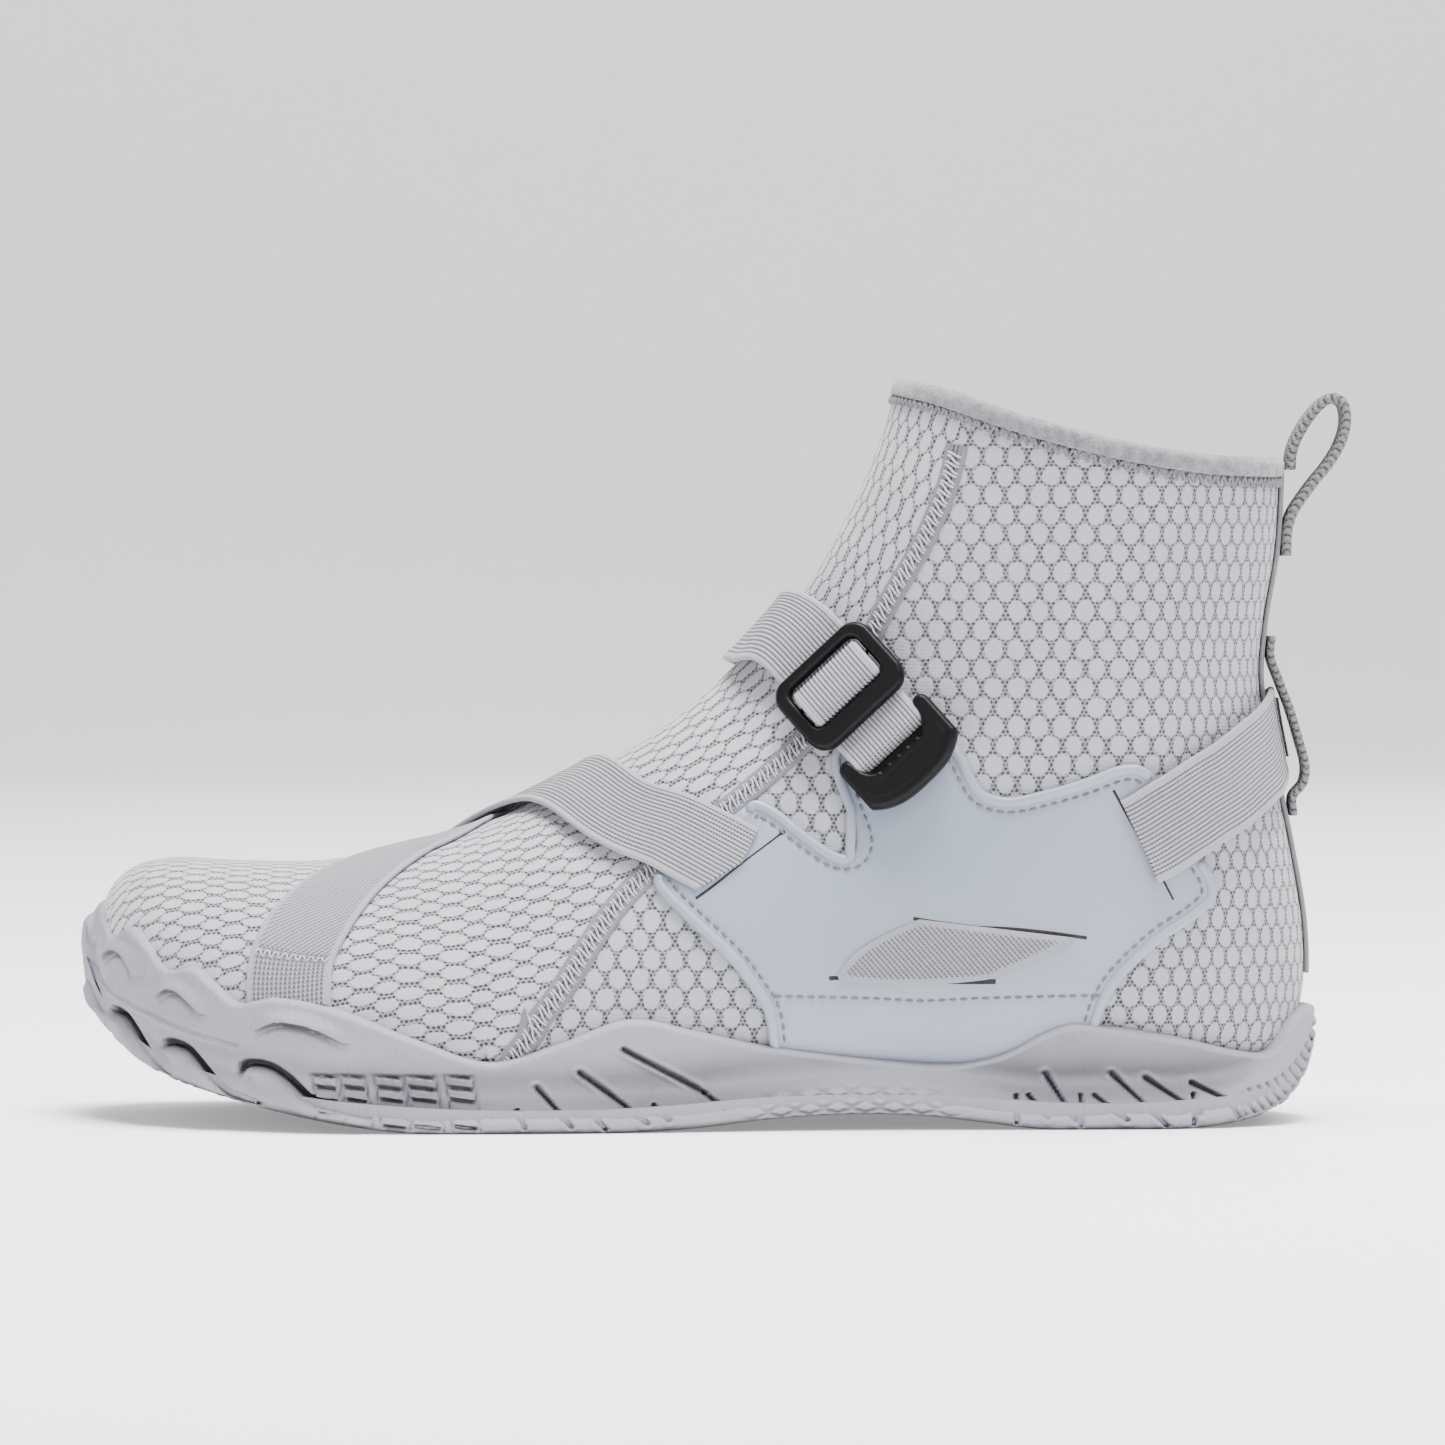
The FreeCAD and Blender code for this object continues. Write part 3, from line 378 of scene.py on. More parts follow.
def round_edge(d, radius):
    """How far a face has dropped at distance d from a rounded edge."""
    w = np.clip(1 - d / radius, 0, 1)
    return radius * (1 - np.sqrt(1 - w ** 2))


def spread(half, count):
    """Places across a strap, closer together towards its edges."""
    return half * np.sin(np.linspace(-1, 1, count) * math.pi / 2 * 0.98) / math.sin(math.pi / 2 * 0.98)


def webbing(name, place, length, width, low, high, step=1.0, across=41, ends=(0.0, 0.0), ribs=0.0, selvedge=0.12):
    """Strap with rounded edges, a thicker selvedge along each and, where ribs is their height, 1 mm ribs along
    its length: top = high - rounding + selvedge + ribs * cos(2 pi v)."""
    v = spread(width / 2, across)
    a = np.linspace(ends[0], length - ends[1], 1 + max(1, round((length - ends[1] - ends[0]) / step)))
    a, v = np.meshgrid(a, v, indexing="ij")
    d = width / 2 - np.abs(v)
    half = (high - low) / 2
    body = smoothstep(1.6, 2.4, d)
    top = high - round_edge(d, half) + selvedge * (1 - body) * smoothstep(0, 0.5, d)
    top = top + body * ribs * np.cos(2 * math.pi * v)
    bottom = low + round_edge(d, half)
    return slab(name, place(a, v, top), place(a, v, bottom), uv=np.stack([a, v], -1), values={"edge": d}, flip=True,
                crease=60)


def nearest_on(px, pz, loop):
    """Nearest point of a closed side-view outline, its distance, and whether each point is inside it."""
    best = np.full(px.shape, 1e9)
    bx, bz, inside = px.copy(), pz.copy(), np.zeros(px.shape, bool)
    for (x0, z0), (x1, z1) in zip(loop, np.roll(loop, -1, 0)):
        dx, dz = x1 - x0, z1 - z0
        w = np.clip(((px - x0) * dx + (pz - z0) * dz) / max(dx * dx + dz * dz, 1e-9), 0, 1)
        qx, qz = x0 + w * dx, z0 + w * dz
        d = np.hypot(px - qx, pz - qz)
        bx, bz = np.where(d < best, qx, bx), np.where(d < best, qz, bz)
        best = np.minimum(best, d)
        if dz:
            inside ^= ((z0 > pz) != (z1 > pz)) & (px < x0 + (pz - z0) / dz * dx)
    return bx, bz, best, inside


def plate(name, loop, cell, place, top, low, holes=(), flip=False, crease=35):
    """Closed sheet cut to a flat outline: a grid's nodes inside the loop, its rim moved onto the loop.
    Place(x, z, h) puts a point, top(x, z, d) and low(x, z, d) are its faces' heights at d from the edge."""
    loop = np.asarray(loop, float)
    (x0, z0), (x1, z1) = loop.min(0), loop.max(0)
    px, pz = np.meshgrid(np.arange(x0 - cell, x1 + 2 * cell, cell), np.arange(z0 - cell, z1 + 2 * cell, cell),
                         indexing="ij")
    shape = px.shape
    px, pz = px.ravel(), pz.ravel()
    bx, bz, d, inside = nearest_on(px, pz, loop)
    for hole in holes:
        hx, hz, hd, within = nearest_on(px, pz, np.asarray(hole, float))
        inside &= ~within
        bx, bz = np.where(hd < d, hx, bx), np.where(hd < d, hz, bz)
        d = np.minimum(d, hd)
    keep = inside & (d > 0.2 * cell)
    quads = grid_faces(*shape)
    quads = quads[keep[quads].all(1)]
    used = np.unique(quads)
    number = np.zeros(len(px), int)
    number[used] = np.arange(len(used))
    quads = number[quads]
    px, pz, bx, bz, d = px[used], pz[used], bx[used], bz[used], d[used]
    start, end = quads.ravel(), np.roll(quads, -1, 1).ravel()
    count = len(used)
    free = ~np.isin(start * count + end, end * count + start)
    start, end = start[free], end[free]
    px[start], pz[start], d[start] = bx[start], bz[start], 0.0
    points = np.concatenate([place(px, pz, top(px, pz, d)), place(px, pz, low(px, pz, d))])
    sides = np.stack([end, start, start + count, end + count], -1)
    faces = np.concatenate([quads, quads[:, ::-1] + count, sides])
    if flip:
        faces = faces[:, ::-1]
    uv = np.tile(np.stack([px, pz], -1), (2, 1))
    return write_mesh(name, points, faces, uv=uv, values={"edge": np.tile(d, 2)}, crease=crease)


def on_side(side):
    """Placing for a shape drawn in side view: it lies on the sock's outer (1) or inner (-1) face."""
    def place(x, z, h):
        return sock(*find(x, z, side), h)
    return place


def stitches(name, line, side):
    """Thread dashes along a side-view line: each sinks at both ends and is thickest in its middle."""
    pitch, length, radius, h = 2.5, 2.1, 0.36, 1.32
    line = np.asarray(line, float)
    run = arc_length(line, 0)
    starts = np.arange(pitch / 2, run[-1] - pitch / 2, pitch)
    u = np.linspace(-0.5, 0.5, 7)
    a = starts[:, None] + u * length
    x, z = np.interp(a, run, line[:, 0]), np.interp(a, run, line[:, 1])
    rise = h - 1.3 * radius + 1.7 * radius * np.sqrt(np.clip(1 - (2 * u) ** 2, 0, 1))
    s, turn = find(x, z, side)
    size = radius * (0.7 + 0.3 * np.cos(2 * math.pi * u)) * np.ones_like(a)
    return tubes(name, sock(s, turn, np.broadcast_to(rise, a.shape)), slopes(s, turn)[2], size)


# ---------------------------------------------------------------- neoprene panels and collar
def seam_turn(s, side):
    """Turn of the seam between the vamp and the quarter at each station, never past the sock's bottom."""
    keys = at_stations(smooth_line(FRONT_SEAM, 1.5)[:-8], side)
    order = np.argsort(keys[:, 0])
    return np.minimum(np.interp(s, keys[order, 0], np.abs(keys[order, 1])), 2.85)


def collar_station(turn, drop=0.0):
    """Station where the collar's edge, moved down by drop, crosses each turn."""
    def above(s):
        p = sock(s, turn)
        return p[..., 2] > at_x(COLLAR_EDGE, p[..., 0]) - drop
    return halve(np.full(np.shape(turn), 20.0), np.full(np.shape(turn), float(LAST)), above, 30)


def cloth_places(points, side_column):
    """Where each point lies on the uncut cloth, in millimetres: length along the panel, read on one column, and
    length across it from that column."""
    along = arc_length(points, 0)[:, side_column:side_column + 1] + np.zeros(points.shape[:2])
    across = arc_length(points, 1)
    return np.stack([along, across - across[:, side_column:side_column + 1]], -1)


def build_vamp():
    """Front panel, from the toe to the collar between the two seams."""
    u, w = np.linspace(0, 1, 190)[:, None], np.linspace(-1, 1, 150)[None]
    turn = w * np.where(w > 0, seam_turn(22.2, 1), seam_turn(22.2, -1))
    s = 0.15 + (collar_station(turn, 1.0) - 0.15) * u
    turn = w * np.where(w > 0, seam_turn(s, 1), seam_turn(s, -1))
    face = sock(s, turn, FACE_LIFT)
    lining = sock(np.maximum(s, 1.3), turn, LINING_LIFT)
    return slab("neoprene_vamp", face, lining, uv=cloth_places(face, 75), values={"edge": np.zeros(face.shape[:2])})


def build_quarter(side):
    """Rear panel of one side, from the seam round to the middle of the heel."""
    first = float(find(*FRONT_SEAM[0], side)[0])
    u, w = np.linspace(0, 1, 150), np.linspace(0, 1, 150)
    back = math.pi - 0.004
    top = collar_station(side * (0.8 + (back - 0.8) * w), 1.0)
    s = first + (top - first) * u[:, None]
    start = seam_turn(s, side)
    turn = side * (start + (back - start) * w)
    face, lining = sock(s, turn, FACE_LIFT), sock(s, turn, LINING_LIFT)
    wrap = smoothstep(95, 118, face[..., 0]) * np.abs(face[..., 1] + side * 34.0)
    uv = np.stack([face[..., 0] + wrap, face[..., 2]], -1)
    return slab("neoprene_quarter_" + SIDE_NAMES[side], face, lining, uv=uv, flip=side < 0)


def build_binding():
    """Brushed binding folded over the collar's edge: a rounded U section swept round the opening."""
    section = np.array([(0.15, -3.7), (0.85, -3.55), (1.05, -2.6), (1.1, -1.4), (0.95, -0.4), (0.4, 0.3),
                        (-0.5, 0.72), (-1.5, 0.85), (-2.5, 0.72), (-3.4, 0.3), (-3.95, -0.4), (-4.1, -1.4),
                        (-4.05, -2.6), (-3.9, -3.4), (-3.2, -3.6), (-3.05, -1.6), (-1.5, -0.9), (0.0, -1.6)])
    section = smooth_line(section, 0.32, closed=True)
    turn = np.linspace(0, 2 * math.pi, 520, endpoint=False)
    s = collar_station(np.where(turn > math.pi, turn - 2 * math.pi, turn))
    pace = np.linalg.norm(slopes(s, turn)[0], axis=-1)
    puff = 1 + 0.04 * noise(turn * 25, 0 * turn, 4)
    h = (section[:, 0] + 1.5) * puff[:, None] - 1.5
    points = sock(s[:, None] + section[:, 1] / pace[:, None], turn[:, None] + 0 * h, h)
    quads = grid_faces(*points.shape[:2], wrap_rows=True, wrap_columns=True)[:, ::-1]
    a, b = np.meshgrid(turn * 40, np.arange(len(section)) * 0.32, indexing="ij")
    return write_mesh("collar_fold", points.reshape(-1, 3), quads, uv=np.stack([a, b], -1).reshape(-1, 2), crease=80)


def build_collar_thread():
    """Zigzag stitches that hold the binding: threads between two rows under its lower edge."""
    count = 250
    turn = np.linspace(0, 2 * math.pi, count, endpoint=False)
    u = np.linspace(0, 1, 6)
    away = np.where(np.arange(count) % 2 == 0, 1.0, -1.0)[:, None]
    t = turn[:, None] + 2 * math.pi / count * u
    s = collar_station(np.where(t > math.pi, t - 2 * math.pi, t))
    pace = np.linalg.norm(slopes(s, t)[0], axis=-1)
    down = 5.1 + away * (1.35 - 2.7 * u)
    height = 0.2 + 0.4 * np.sin(math.pi * u) + 0 * t
    s = s - down / pace
    return tubes("collar_zigzag", sock(s, t, height), slopes(s, t)[2], 0.36)


def build_seam(side):
    """Flatlock seam's sewn ground, with its own coordinates and length for the threads."""
    place, length = ribbon(at_stations(smooth_line(FRONT_SEAM[1:-1], 6.0), side))
    end = length - 4.0
    return webbing(sided(side, "flatlock"), place, end, 5.6, -0.06, 0.22, 1.0, 13, selvedge=0.25), place, end


def build_seam_thread(place, end, side):
    """Cover-stitch threads over the seam: strands 1.15 mm apart in pairs of slants, bowed like a loose S."""
    a0 = np.arange(1.0, end - 1.5, 1.15)
    u = np.linspace(-1, 1, 7)
    lean = np.where(np.arange(len(a0)) % 2 == 0, 1.0, 0.45)[:, None]
    a = a0[:, None] + lean * (0.8 * u + 0.35 * np.sin(math.pi * u))
    v = 2.3 * u + 0 * a
    h = 0.2 + 0.32 * np.sqrt(np.clip(1 - u ** 2, 0, 1)) + 0 * a
    points = place(a, v, h)
    return tubes(sided(side, "seam_thread"), points, points - place(a, v, h - 0.5), 0.3)


def build_footbed():
    """Removable footbed: a soft slab on the board that follows the lining."""
    u, w = np.linspace(0, 1, 160), np.linspace(-1, 1, 50)
    x = -139.5 + 265.5 * u[:, None] + 0 * w
    plan = np.array(SOLE_PLAN)
    outer, inner = (np.interp(x, plan[:, 0], plan[:, c]) for c in (1, 2))
    shrink = 8.5 + 3.0 * np.exp(-((x + 140) / 10) ** 2)
    outer, inner = outer + shrink, inner - shrink
    mid = (outer + inner) / 2
    y = mid + (inner - outer) / 2 * w * np.sqrt(np.clip(1 - (2 * u[:, None] - 1) ** 16, 0.002, 1))
    floor = at_x(FLOOR, x) + 2.15
    crown = 3.9 - round_edge((1 - np.abs(w)) * 30, 2.0) + 0.8 * w ** 4
    top = np.stack([x, y, floor + crown], -1)
    low = np.stack([x, y, floor + 0.1], -1)
    return slab("footbed_pad", top, low, uv=np.stack([x, y], -1), flip=True)


# ---------------------------------------------------------------- overlays
OVERLAY = [
    np.array([(13.6, 12.0), (13.1, 19.0), (12.0, 26.7), (8.7, 32.3), (4.3, 38.1), (-1.5, 43.7), (-7.1, 48.8),
              (-11.5, 53.2), (-13.2, 56.0), (-12.6, 58.4)]),
    np.array([(-12.6, 58.4), (7.5, 72.9)]),
    np.array([(7.5, 72.9), (9.6, 74.4), (11.8, 74.2), (15.4, 72.3), (21.0, 68.0), (26.8, 63.9), (30.1, 62.5),
              (32.6, 63.3), (33.2, 65.6), (31.6, 70.4), (29.6, 75.7), (27.9, 80.8), (27.6, 84.6), (29.0, 87.6)]),
    np.array([(29.0, 87.6), (43.0, 99.6)]),
    np.array([(43.0, 99.6), (52.0, 92.6), (57.6, 85.6), (59.8, 81.2), (62.4, 77.2), (67.7, 75.7), (76.3, 77.4),
              (85.6, 80.2), (92.6, 82.9), (97.2, 83.2), (101.0, 81.2)]),
    np.array([(101.0, 81.2), (112.1, 61.6)]),
    np.array([(112.1, 61.6), (114.8, 56.8), (114.8, 52.0), (109.6, 47.1), (103.2, 43.0), (96.1, 36.7),
              (91.4, 30.9), (88.6, 24.0), (87.4, 14.0)])]
# The overlay's runs that are free edges, with piping and a row of stitches
FREE_EDGES = (0, 2, 4, 6)
LOW_STITCH = np.array([(13.8, 30.7), (37.3, 30.0), (48.0, 29.5), (61.2, 30.0), (88.9, 30.7)])
WINDOW = [np.array([(28.0, 34.4), (32.0, 39.6), (38.5, 43.9), (47.3, 47.9)]), np.array([(47.3, 47.9), (84.2, 43.6)]),
          np.array([(84.2, 43.6), (77.3, 40.4), (70.4, 37.3), (63.0, 34.2)])]
# Slits, each drawn as a strip of painted shadow: ends in side view and the gap's width
SLOTS = {"front": ((-3.6, 52.4), (16.8, 67.6), 0.9), "rear": ((91.6, 77.4), (105.2, 52.2), 0.9),
         "arch_top": ((46.0, 48.1), (85.6, 43.7), 1.0), "arch_foot": ((26.6, 34.6), (64.8, 33.8), 1.3)}


def overlay_outline():
    """The moulded overlay's side-view outline, its foot just under the rand's edge."""
    runs = [smooth_line(run, 0.8)[:-1] for run in OVERLAY]
    x = np.linspace(87.4, 13.6, 90)
    return np.concatenate([runs[0][runs[0][:, 1] > 17]] + runs[1:-1] + [runs[-1][runs[-1][:, 1] > 17]]
                          + [np.stack([x, at_x(RAND_TOP, x) - 1.6], -1)])


def inset_line(line, inset):
    """A side-view line moved to its right-hand side by inset."""
    run = unit(np.gradient(line, axis=0))
    return line + np.stack([run[:, 1], -run[:, 0]], -1) * inset


def build_overlay(side):
    """Moulded skin over the quarter: 1 mm thick with a soft edge, a faint dish and the sewn channels."""
    low_stitch = smooth_line(LOW_STITCH, 2.0)

    def top(x, z, d):
        groove = to_line(x, z, low_stitch)[0]
        edge = np.exp(-((d - 3.5) / 0.55) ** 2) + np.exp(-(groove / 0.5) ** 2)
        soft = 0.06 * noise(x / 14, z / 14, 7)
        return 1.4 - round_edge(d, 0.7) - 0.22 * edge + soft
    return plate(sided(side, "overlay_skin"), overlay_outline(), 0.8, on_side(side), top, lambda x, z, d: 0.0 * x,
                 flip=side > 0)


def build_piping(side):
    """Raised rounded rim on the overlay's free edges, one tube for each run."""
    pieces = []
    for number, run in enumerate(FREE_EDGES, 1):
        line = smooth_line(OVERLAY[run], 0.7)
        line = inset_line(line[line[:, 1] > 15], 1.2)
        if run == 2:
            line = line[line[:, 0] < 32.2] if side > 0 else line[line[:, 1] < 73.2]
        s, turn = find(line[:, 0], line[:, 1], side)
        middle, out = sock(s, turn, 1.25)[None], slopes(s, turn)[2][None]
        pieces.append(tubes(sided(side, f"piping_{number}"), middle, out, 1.2, sides=14, squash=0.85))
    return pieces


def build_overlay_thread(side):
    """Stitch lines inside the piping and along the overlay's foot."""
    lines = {str(number): inset_line(smooth_line(OVERLAY[run], 0.7), 3.5)
             for number, run in enumerate(FREE_EDGES, 1)}
    lines = {label: line[line[:, 1] > 20] for label, line in lines.items()}
    lines["foot"] = smooth_line(LOW_STITCH, 0.7)
    return [stitches(sided(side, "overlay_thread_" + label), line, side) for label, line in lines.items()]


def build_arch_band(side):
    """Elastic that comes out of the overlay's upper slit and goes back into the lower one."""
    runs = [smooth_line(run, 0.7)[:-1] for run in WINDOW]
    x = np.linspace(63.0, 28.0, 60)
    loop = np.concatenate(runs + [np.stack([x, 34.3 + 1.2 * ((x - 45) / 18) ** 2 - 1.2], -1)])
    left, right = smooth_line(WINDOW[0], 1.0), smooth_line(WINDOW[2], 1.0)

    def top(x, z, d):
        lip = np.minimum(to_line(x, z, left)[0], to_line(x, z, right)[0])
        swell = 0.5 * np.sin(np.clip((z - 33.5) / 13.5, 0, 1) * math.pi)
        return 2.15 + swell - round_edge(d, 0.5) + 0.18 * np.exp(-((lip - 0.8) / 0.7) ** 2)
    return plate(sided(side, "arch_webbing"), loop, 0.45, on_side(side), top, lambda x, z, d: 1.3 + 0 * x,
                 flip=side > 0)


def build_slot(name, side, ends):
    """Slit in the overlay where a band goes in, drawn as painted shadow: a thin dark strip whose face stands just
    clear of the skin.
    """
    (x0, z0), (x1, z1), width = ends
    line = np.array([(x0, z0), ((x0 + x1) / 2, (z0 + z1) / 2), (x1, z1)])
    place, length = ribbon(at_stations(line, side))
    return webbing(name, place, length, width, 0.9, 1.46, 0.6, 9, selvedge=0.0)


# ---------------------------------------------------------------- buckle parts, in the strap's own axes
# Down the strap, across it and away from the ankle; then the middle of the slide
RUN = np.array([0.614162, -0.390171, -0.685983])
ACROSS = np.array([0.729336, -0.051416, 0.682221])
OUT = np.array([-0.301453, -0.919306, 0.252988])
SLIDE = np.array([30.3067, -26.2652, 100.0819])


def on_buckle(r, w, t):
    """Point r down the strap from the slide, w across it and t away from the ankle."""
    r, w, t = (np.asarray(a)[..., None] for a in (r, w, t))
    return SLIDE + r * RUN + w * ACROSS + t * OUT


def rounded_box(r0, r1, w0, w1, radius):
    """Outline of a rectangle with rounded corners, in run and across."""
    corners = [(r1 - radius, w1 - radius, 0.0), (r0 + radius, w1 - radius, 0.5), (r0 + radius, w0 + radius, 1.0),
               (r1 - radius, w0 + radius, 1.5)]
    a = np.linspace(0, 0.5, max(6, int(radius * 4.0)))
    ring = [(cr, cw, (a + start) * math.pi) for cr, cw, start in corners]
    return np.concatenate([np.stack([cr + radius * np.cos(t), cw + radius * np.sin(t)], -1) for cr, cw, t in ring])


def build_slide():
    """Moulded slide: a rounded frame with a soft outer edge, a bevelled opening and the bar inside it."""
    hole = rounded_box(-7.3, 5.0, -10.2, 10.2, 2.4)
    frame_piece = plate("slide_frame", rounded_box(-10.2, 10.2, -13.8, 14.0, 4.8), 0.32, on_buckle,
                        lambda r, w, d: 4.95 - round_edge(d, 1.0) + 0.12 * (1 - smoothstep(0, 9, np.abs(r))),
                        lambda r, w, d: 1.75 + round_edge(d, 0.7), [hole], flip=True, crease=50)
    w = np.linspace(-10.4, 10.4, 40)
    bar = tubes("slide_bar", on_buckle(-1.5 + 0 * w, w, 3.95 + 0 * w)[None], np.tile(OUT, (1, 40, 1)), 0.8, sides=16)
    return [frame_piece, bar]


def build_fold():
    """Webbing turned over the slide's bar: a flattened loop section carried across, ribbed along its run."""
    a = np.linspace(0, 2 * math.pi, 72, endpoint=False)
    r = -0.7 + 1.6 * np.sign(np.cos(a)) * np.abs(np.cos(a)) ** 0.8 + 3.6 * np.cos(a)
    t = 3.95 + 2.15 * np.sin(a) + 0.25 * np.cos(a)
    w = spread(9.6, 101)
    edge = 9.6 - np.abs(w)
    puff = 1 - 0.16 * (1 - smoothstep(0, 0.6, edge)) + 0.03 * np.cos(2 * math.pi * w) * smoothstep(1.4, 2, edge)
    rr = -0.7 + (r[:, None] + 0.7) * puff
    tt = 3.95 + (t[:, None] - 3.95) * puff
    points = on_buckle(rr, w[None] + 0 * rr, tt)
    core = on_buckle(-0.7 + (rr + 0.7) * 0.82, w[None] + 0 * rr, 3.95 + (tt - 3.95) * 0.5)
    rows, columns = points.shape[:2]
    count = rows * columns
    top = grid_faces(rows, columns, wrap_rows=True)
    inner = top[:, ::-1] + count
    i = np.arange(rows) * columns
    j = np.roll(i, -1)
    ends = np.concatenate([np.stack([i, j, j + count, i + count], -1),
                           np.stack([j, i, i + count, j + count], -1) + columns - 1])
    arc = arc_length(np.concatenate([points, points[:1]]), 0)[:-1]
    uv = np.tile(np.stack([arc, w[None] + 0 * arc], -1).reshape(-1, 2), (2, 1))
    edge = np.tile((edge[None] + 0 * arc).ravel(), 2)
    return write_mesh("slide_webbing", np.concatenate([points.reshape(-1, 3), core.reshape(-1, 3)]),
                      np.concatenate([top, inner, ends]), uv=uv, values={"edge": edge}, crease=60)


def build_tail():
    """Free end of the ankle strap: the flat strip and the loop sewn round the hook's bar."""
    straight = np.linspace(-13.6, 16.6, 60)
    turn = np.linspace(0.5, -0.62, 20) * math.pi
    line = np.concatenate([np.stack([straight, 0.65 + 1.74 * smoothstep(6.0, 16.2, straight)], -1),
                           np.stack([17.0 + 1.74 * np.cos(turn), 0.7 + 1.74 * np.sin(turn)], -1)])
    line = smooth_line(line, 0.35)
    tangent = unit(np.gradient(line, axis=0))
    normal = np.stack([-tangent[:, 1], tangent[:, 0]], -1)
    w = spread(10.0, 81)
    edge = 10.0 - np.abs(w)
    body = smoothstep(1.4, 2.2, edge)
    thick = 0.64 - round_edge(edge, 0.62) + 0.1 * (1 - body) * smoothstep(0, 0.4, edge)
    thick = thick + 0.07 * body * np.cos(2 * math.pi * w)
    sides = []
    for sign in (1, -1):
        p = line[:, None] + sign * normal[:, None] * thick[None, :, None]
        sides.append(on_buckle(p[..., 0], w[None] + 0 * p[..., 0], p[..., 1]))
    run = arc_length(line, 0)
    uv = np.stack(np.meshgrid(run, w, indexing="ij"), -1)
    return slab("ankle_strap_end", sides[0], sides[1], uv=uv, values={"edge": edge[None] + 0 * uv[..., 0]}, flip=True,
                crease=60)


def build_hook():
    """C-shaped hook: two arms that hold the bar, a bowed outer edge with a bevel, and a toothed slot over a
    dark floor."""
    arc = np.linspace(-1, 1, 60)
    outer = np.stack([30.2 - 3.6 * np.abs(arc) ** 3.2 + 0.8 * (1 - arc ** 2), 13.4 * arc], -1)
    tip = np.array([(16.0, 13.4), (14.8, 13.1), (14.1, 12.3), (13.9, 11.2), (14.2, 10.2), (14.9, 9.6)])
    inner = np.array([(17.2, 9.2), (18.9, 8.9), (20.3, 8.1), (21.3, 6.9)])
    teeth_w = np.linspace(6.4, -6.4, 53)
    teeth = np.stack([21.6 + 0.3 * np.sign(np.sin(teeth_w * 2.2)), teeth_w], -1)
    loop = np.concatenate([outer, tip, inner, teeth, (inner * (1, -1))[::-1], (tip * (1, -1))[::-1]])

    def top(r, w, d):
        bevel = round_edge(d, 1.1) + 0.22 * np.exp(-((d - 2.1) / 0.35) ** 2) * smoothstep(21, 24, r)
        return 3.35 - bevel - 0.04 * np.maximum(0, r - 22)
    piece = plate("hook_body", loop, 0.32, on_buckle, top, lambda r, w, d: -0.3 + round_edge(d, 0.6), flip=True,
                  crease=50)
    floor = plate("hook_floor", rounded_box(19.3, 23.0, -9.3, 9.3, 0.8), 0.4, on_buckle, lambda r, w, d: 0.3 + 0 * r,
                  lambda r, w, d: -0.5 + 0 * r, flip=True)
    w = np.linspace(-12.4, 12.4, 40)
    bar = tubes("hook_bar", on_buckle(17.0 + 0 * w, w, 0.7 + 0 * w)[None], np.tile(OUT, (1, 40, 1)), 1.0, sides=18)
    return [piece, floor, bar]


# ---------------------------------------------------------------- straps and tapes
HEEL_Y = -0.7
PULL_LOOP = np.array([(133.1, 130.6), (133.3, 136.0), (134.3, 140.0), (136.3, 143.4), (139.6, 147.9), (142.6, 151.6),
                      (145.4, 156.2), (146.9, 161.5), (146.2, 165.9), (143.7, 167.2), (140.7, 165.4),
                      (137.6, 161.6), (135.4, 157.6), (134.3, 154.2), (134.1, 150.6)])
KEEPER = np.array([(112.0, 2.1), (107.5, 2.3), (102.0, 4.3), (95.0, 6.2), (88.0, 7.0), (82.0, 7.3), (78.0, 6.0),
                   (74.8, 2.9), (70.5, 2.1)])


def heel_x(z):
    """Where the sock's back line is at a height."""
    def above(s):
        return through(STATION_PLACES, STATIONS[:, 3], s) > z
    return through(STATION_PLACES, STATIONS[:, 2], halve(np.full(z.shape, 15.0), np.full(z.shape, 22.5), above))


def edge_on(name, line, half, thick):
    """Tape seen edge-on: a side-view line given a thickness and carried across the heel, its edges rounded."""
    line = smooth_line(line, 0.35)
    run = unit(np.gradient(line, axis=0))
    out = np.stack([-run[:, 1], run[:, 0]], -1)
    w = spread(half, 49)
    edge = half - np.abs(w)
    body = smoothstep(0.9, 1.5, edge)
    height = thick / 2 - round_edge(edge, thick / 2) + 0.06 * body * np.cos(2 * math.pi * w / 1.2)
    faces = []
    for sign in (1, -1):
        p = line[:, None] + sign * out[:, None] * height[None, :, None]
        faces.append(np.stack([p[..., 0], HEEL_Y + w[None] + 0 * p[..., 0], p[..., 1]], -1))
    uv = np.stack(np.meshgrid(arc_length(line, 0), w, indexing="ij"), -1)
    return slab(name, faces[0], faces[1], uv=uv, values={"edge": 2.0 + edge[None] + 0 * uv[..., 0]}, flip=True,
                crease=60)


def build_forefoot(width):
    """Low band that crosses from the outer forefoot over to the inner arch, with its sewn patch."""
    keys = [key(-96.0, 24.0, 1), key(-95.0, 40.0, 1), key(-85.5, 54.0, 1), key(-72.0, 62.0, 1), (7.55, 0.0, 0.0),
            key(-47.0, 60.0, -1), key(-35.0, 45.0, -1), key(-29.0, 20.0, -1)]
    place, length = ribbon(keys)
    band = webbing("forefoot_webbing", place, length, width, 0.15, 1.05, 0.8, 61, selvedge=0.16)
    patch = webbing("forefoot_patch", lambda a, v, h: place(a + 4.0, v, h), 13.0, 19.6, 0.9, 1.42, 0.5, 61,
                    selvedge=0.0)
    u = np.linspace(0, 1, 6)
    start = np.arange(-9.0, 8.4, 1.05)
    flip = np.where(np.arange(len(start)) % 2 == 0, 1.0, -1.0)[:, None]
    a = 15.7 + flip * (0.9 - 1.8 * u)
    v = start[:, None] + 1.05 * u
    points = place(a, v, 1.4 + 0.25 * np.sin(math.pi * u) + 0 * v)
    zigzag = tubes("forefoot_zigzag", points, points - place(a, v, 0.5 + 0 * v), 0.24)
    return band, patch, zigzag


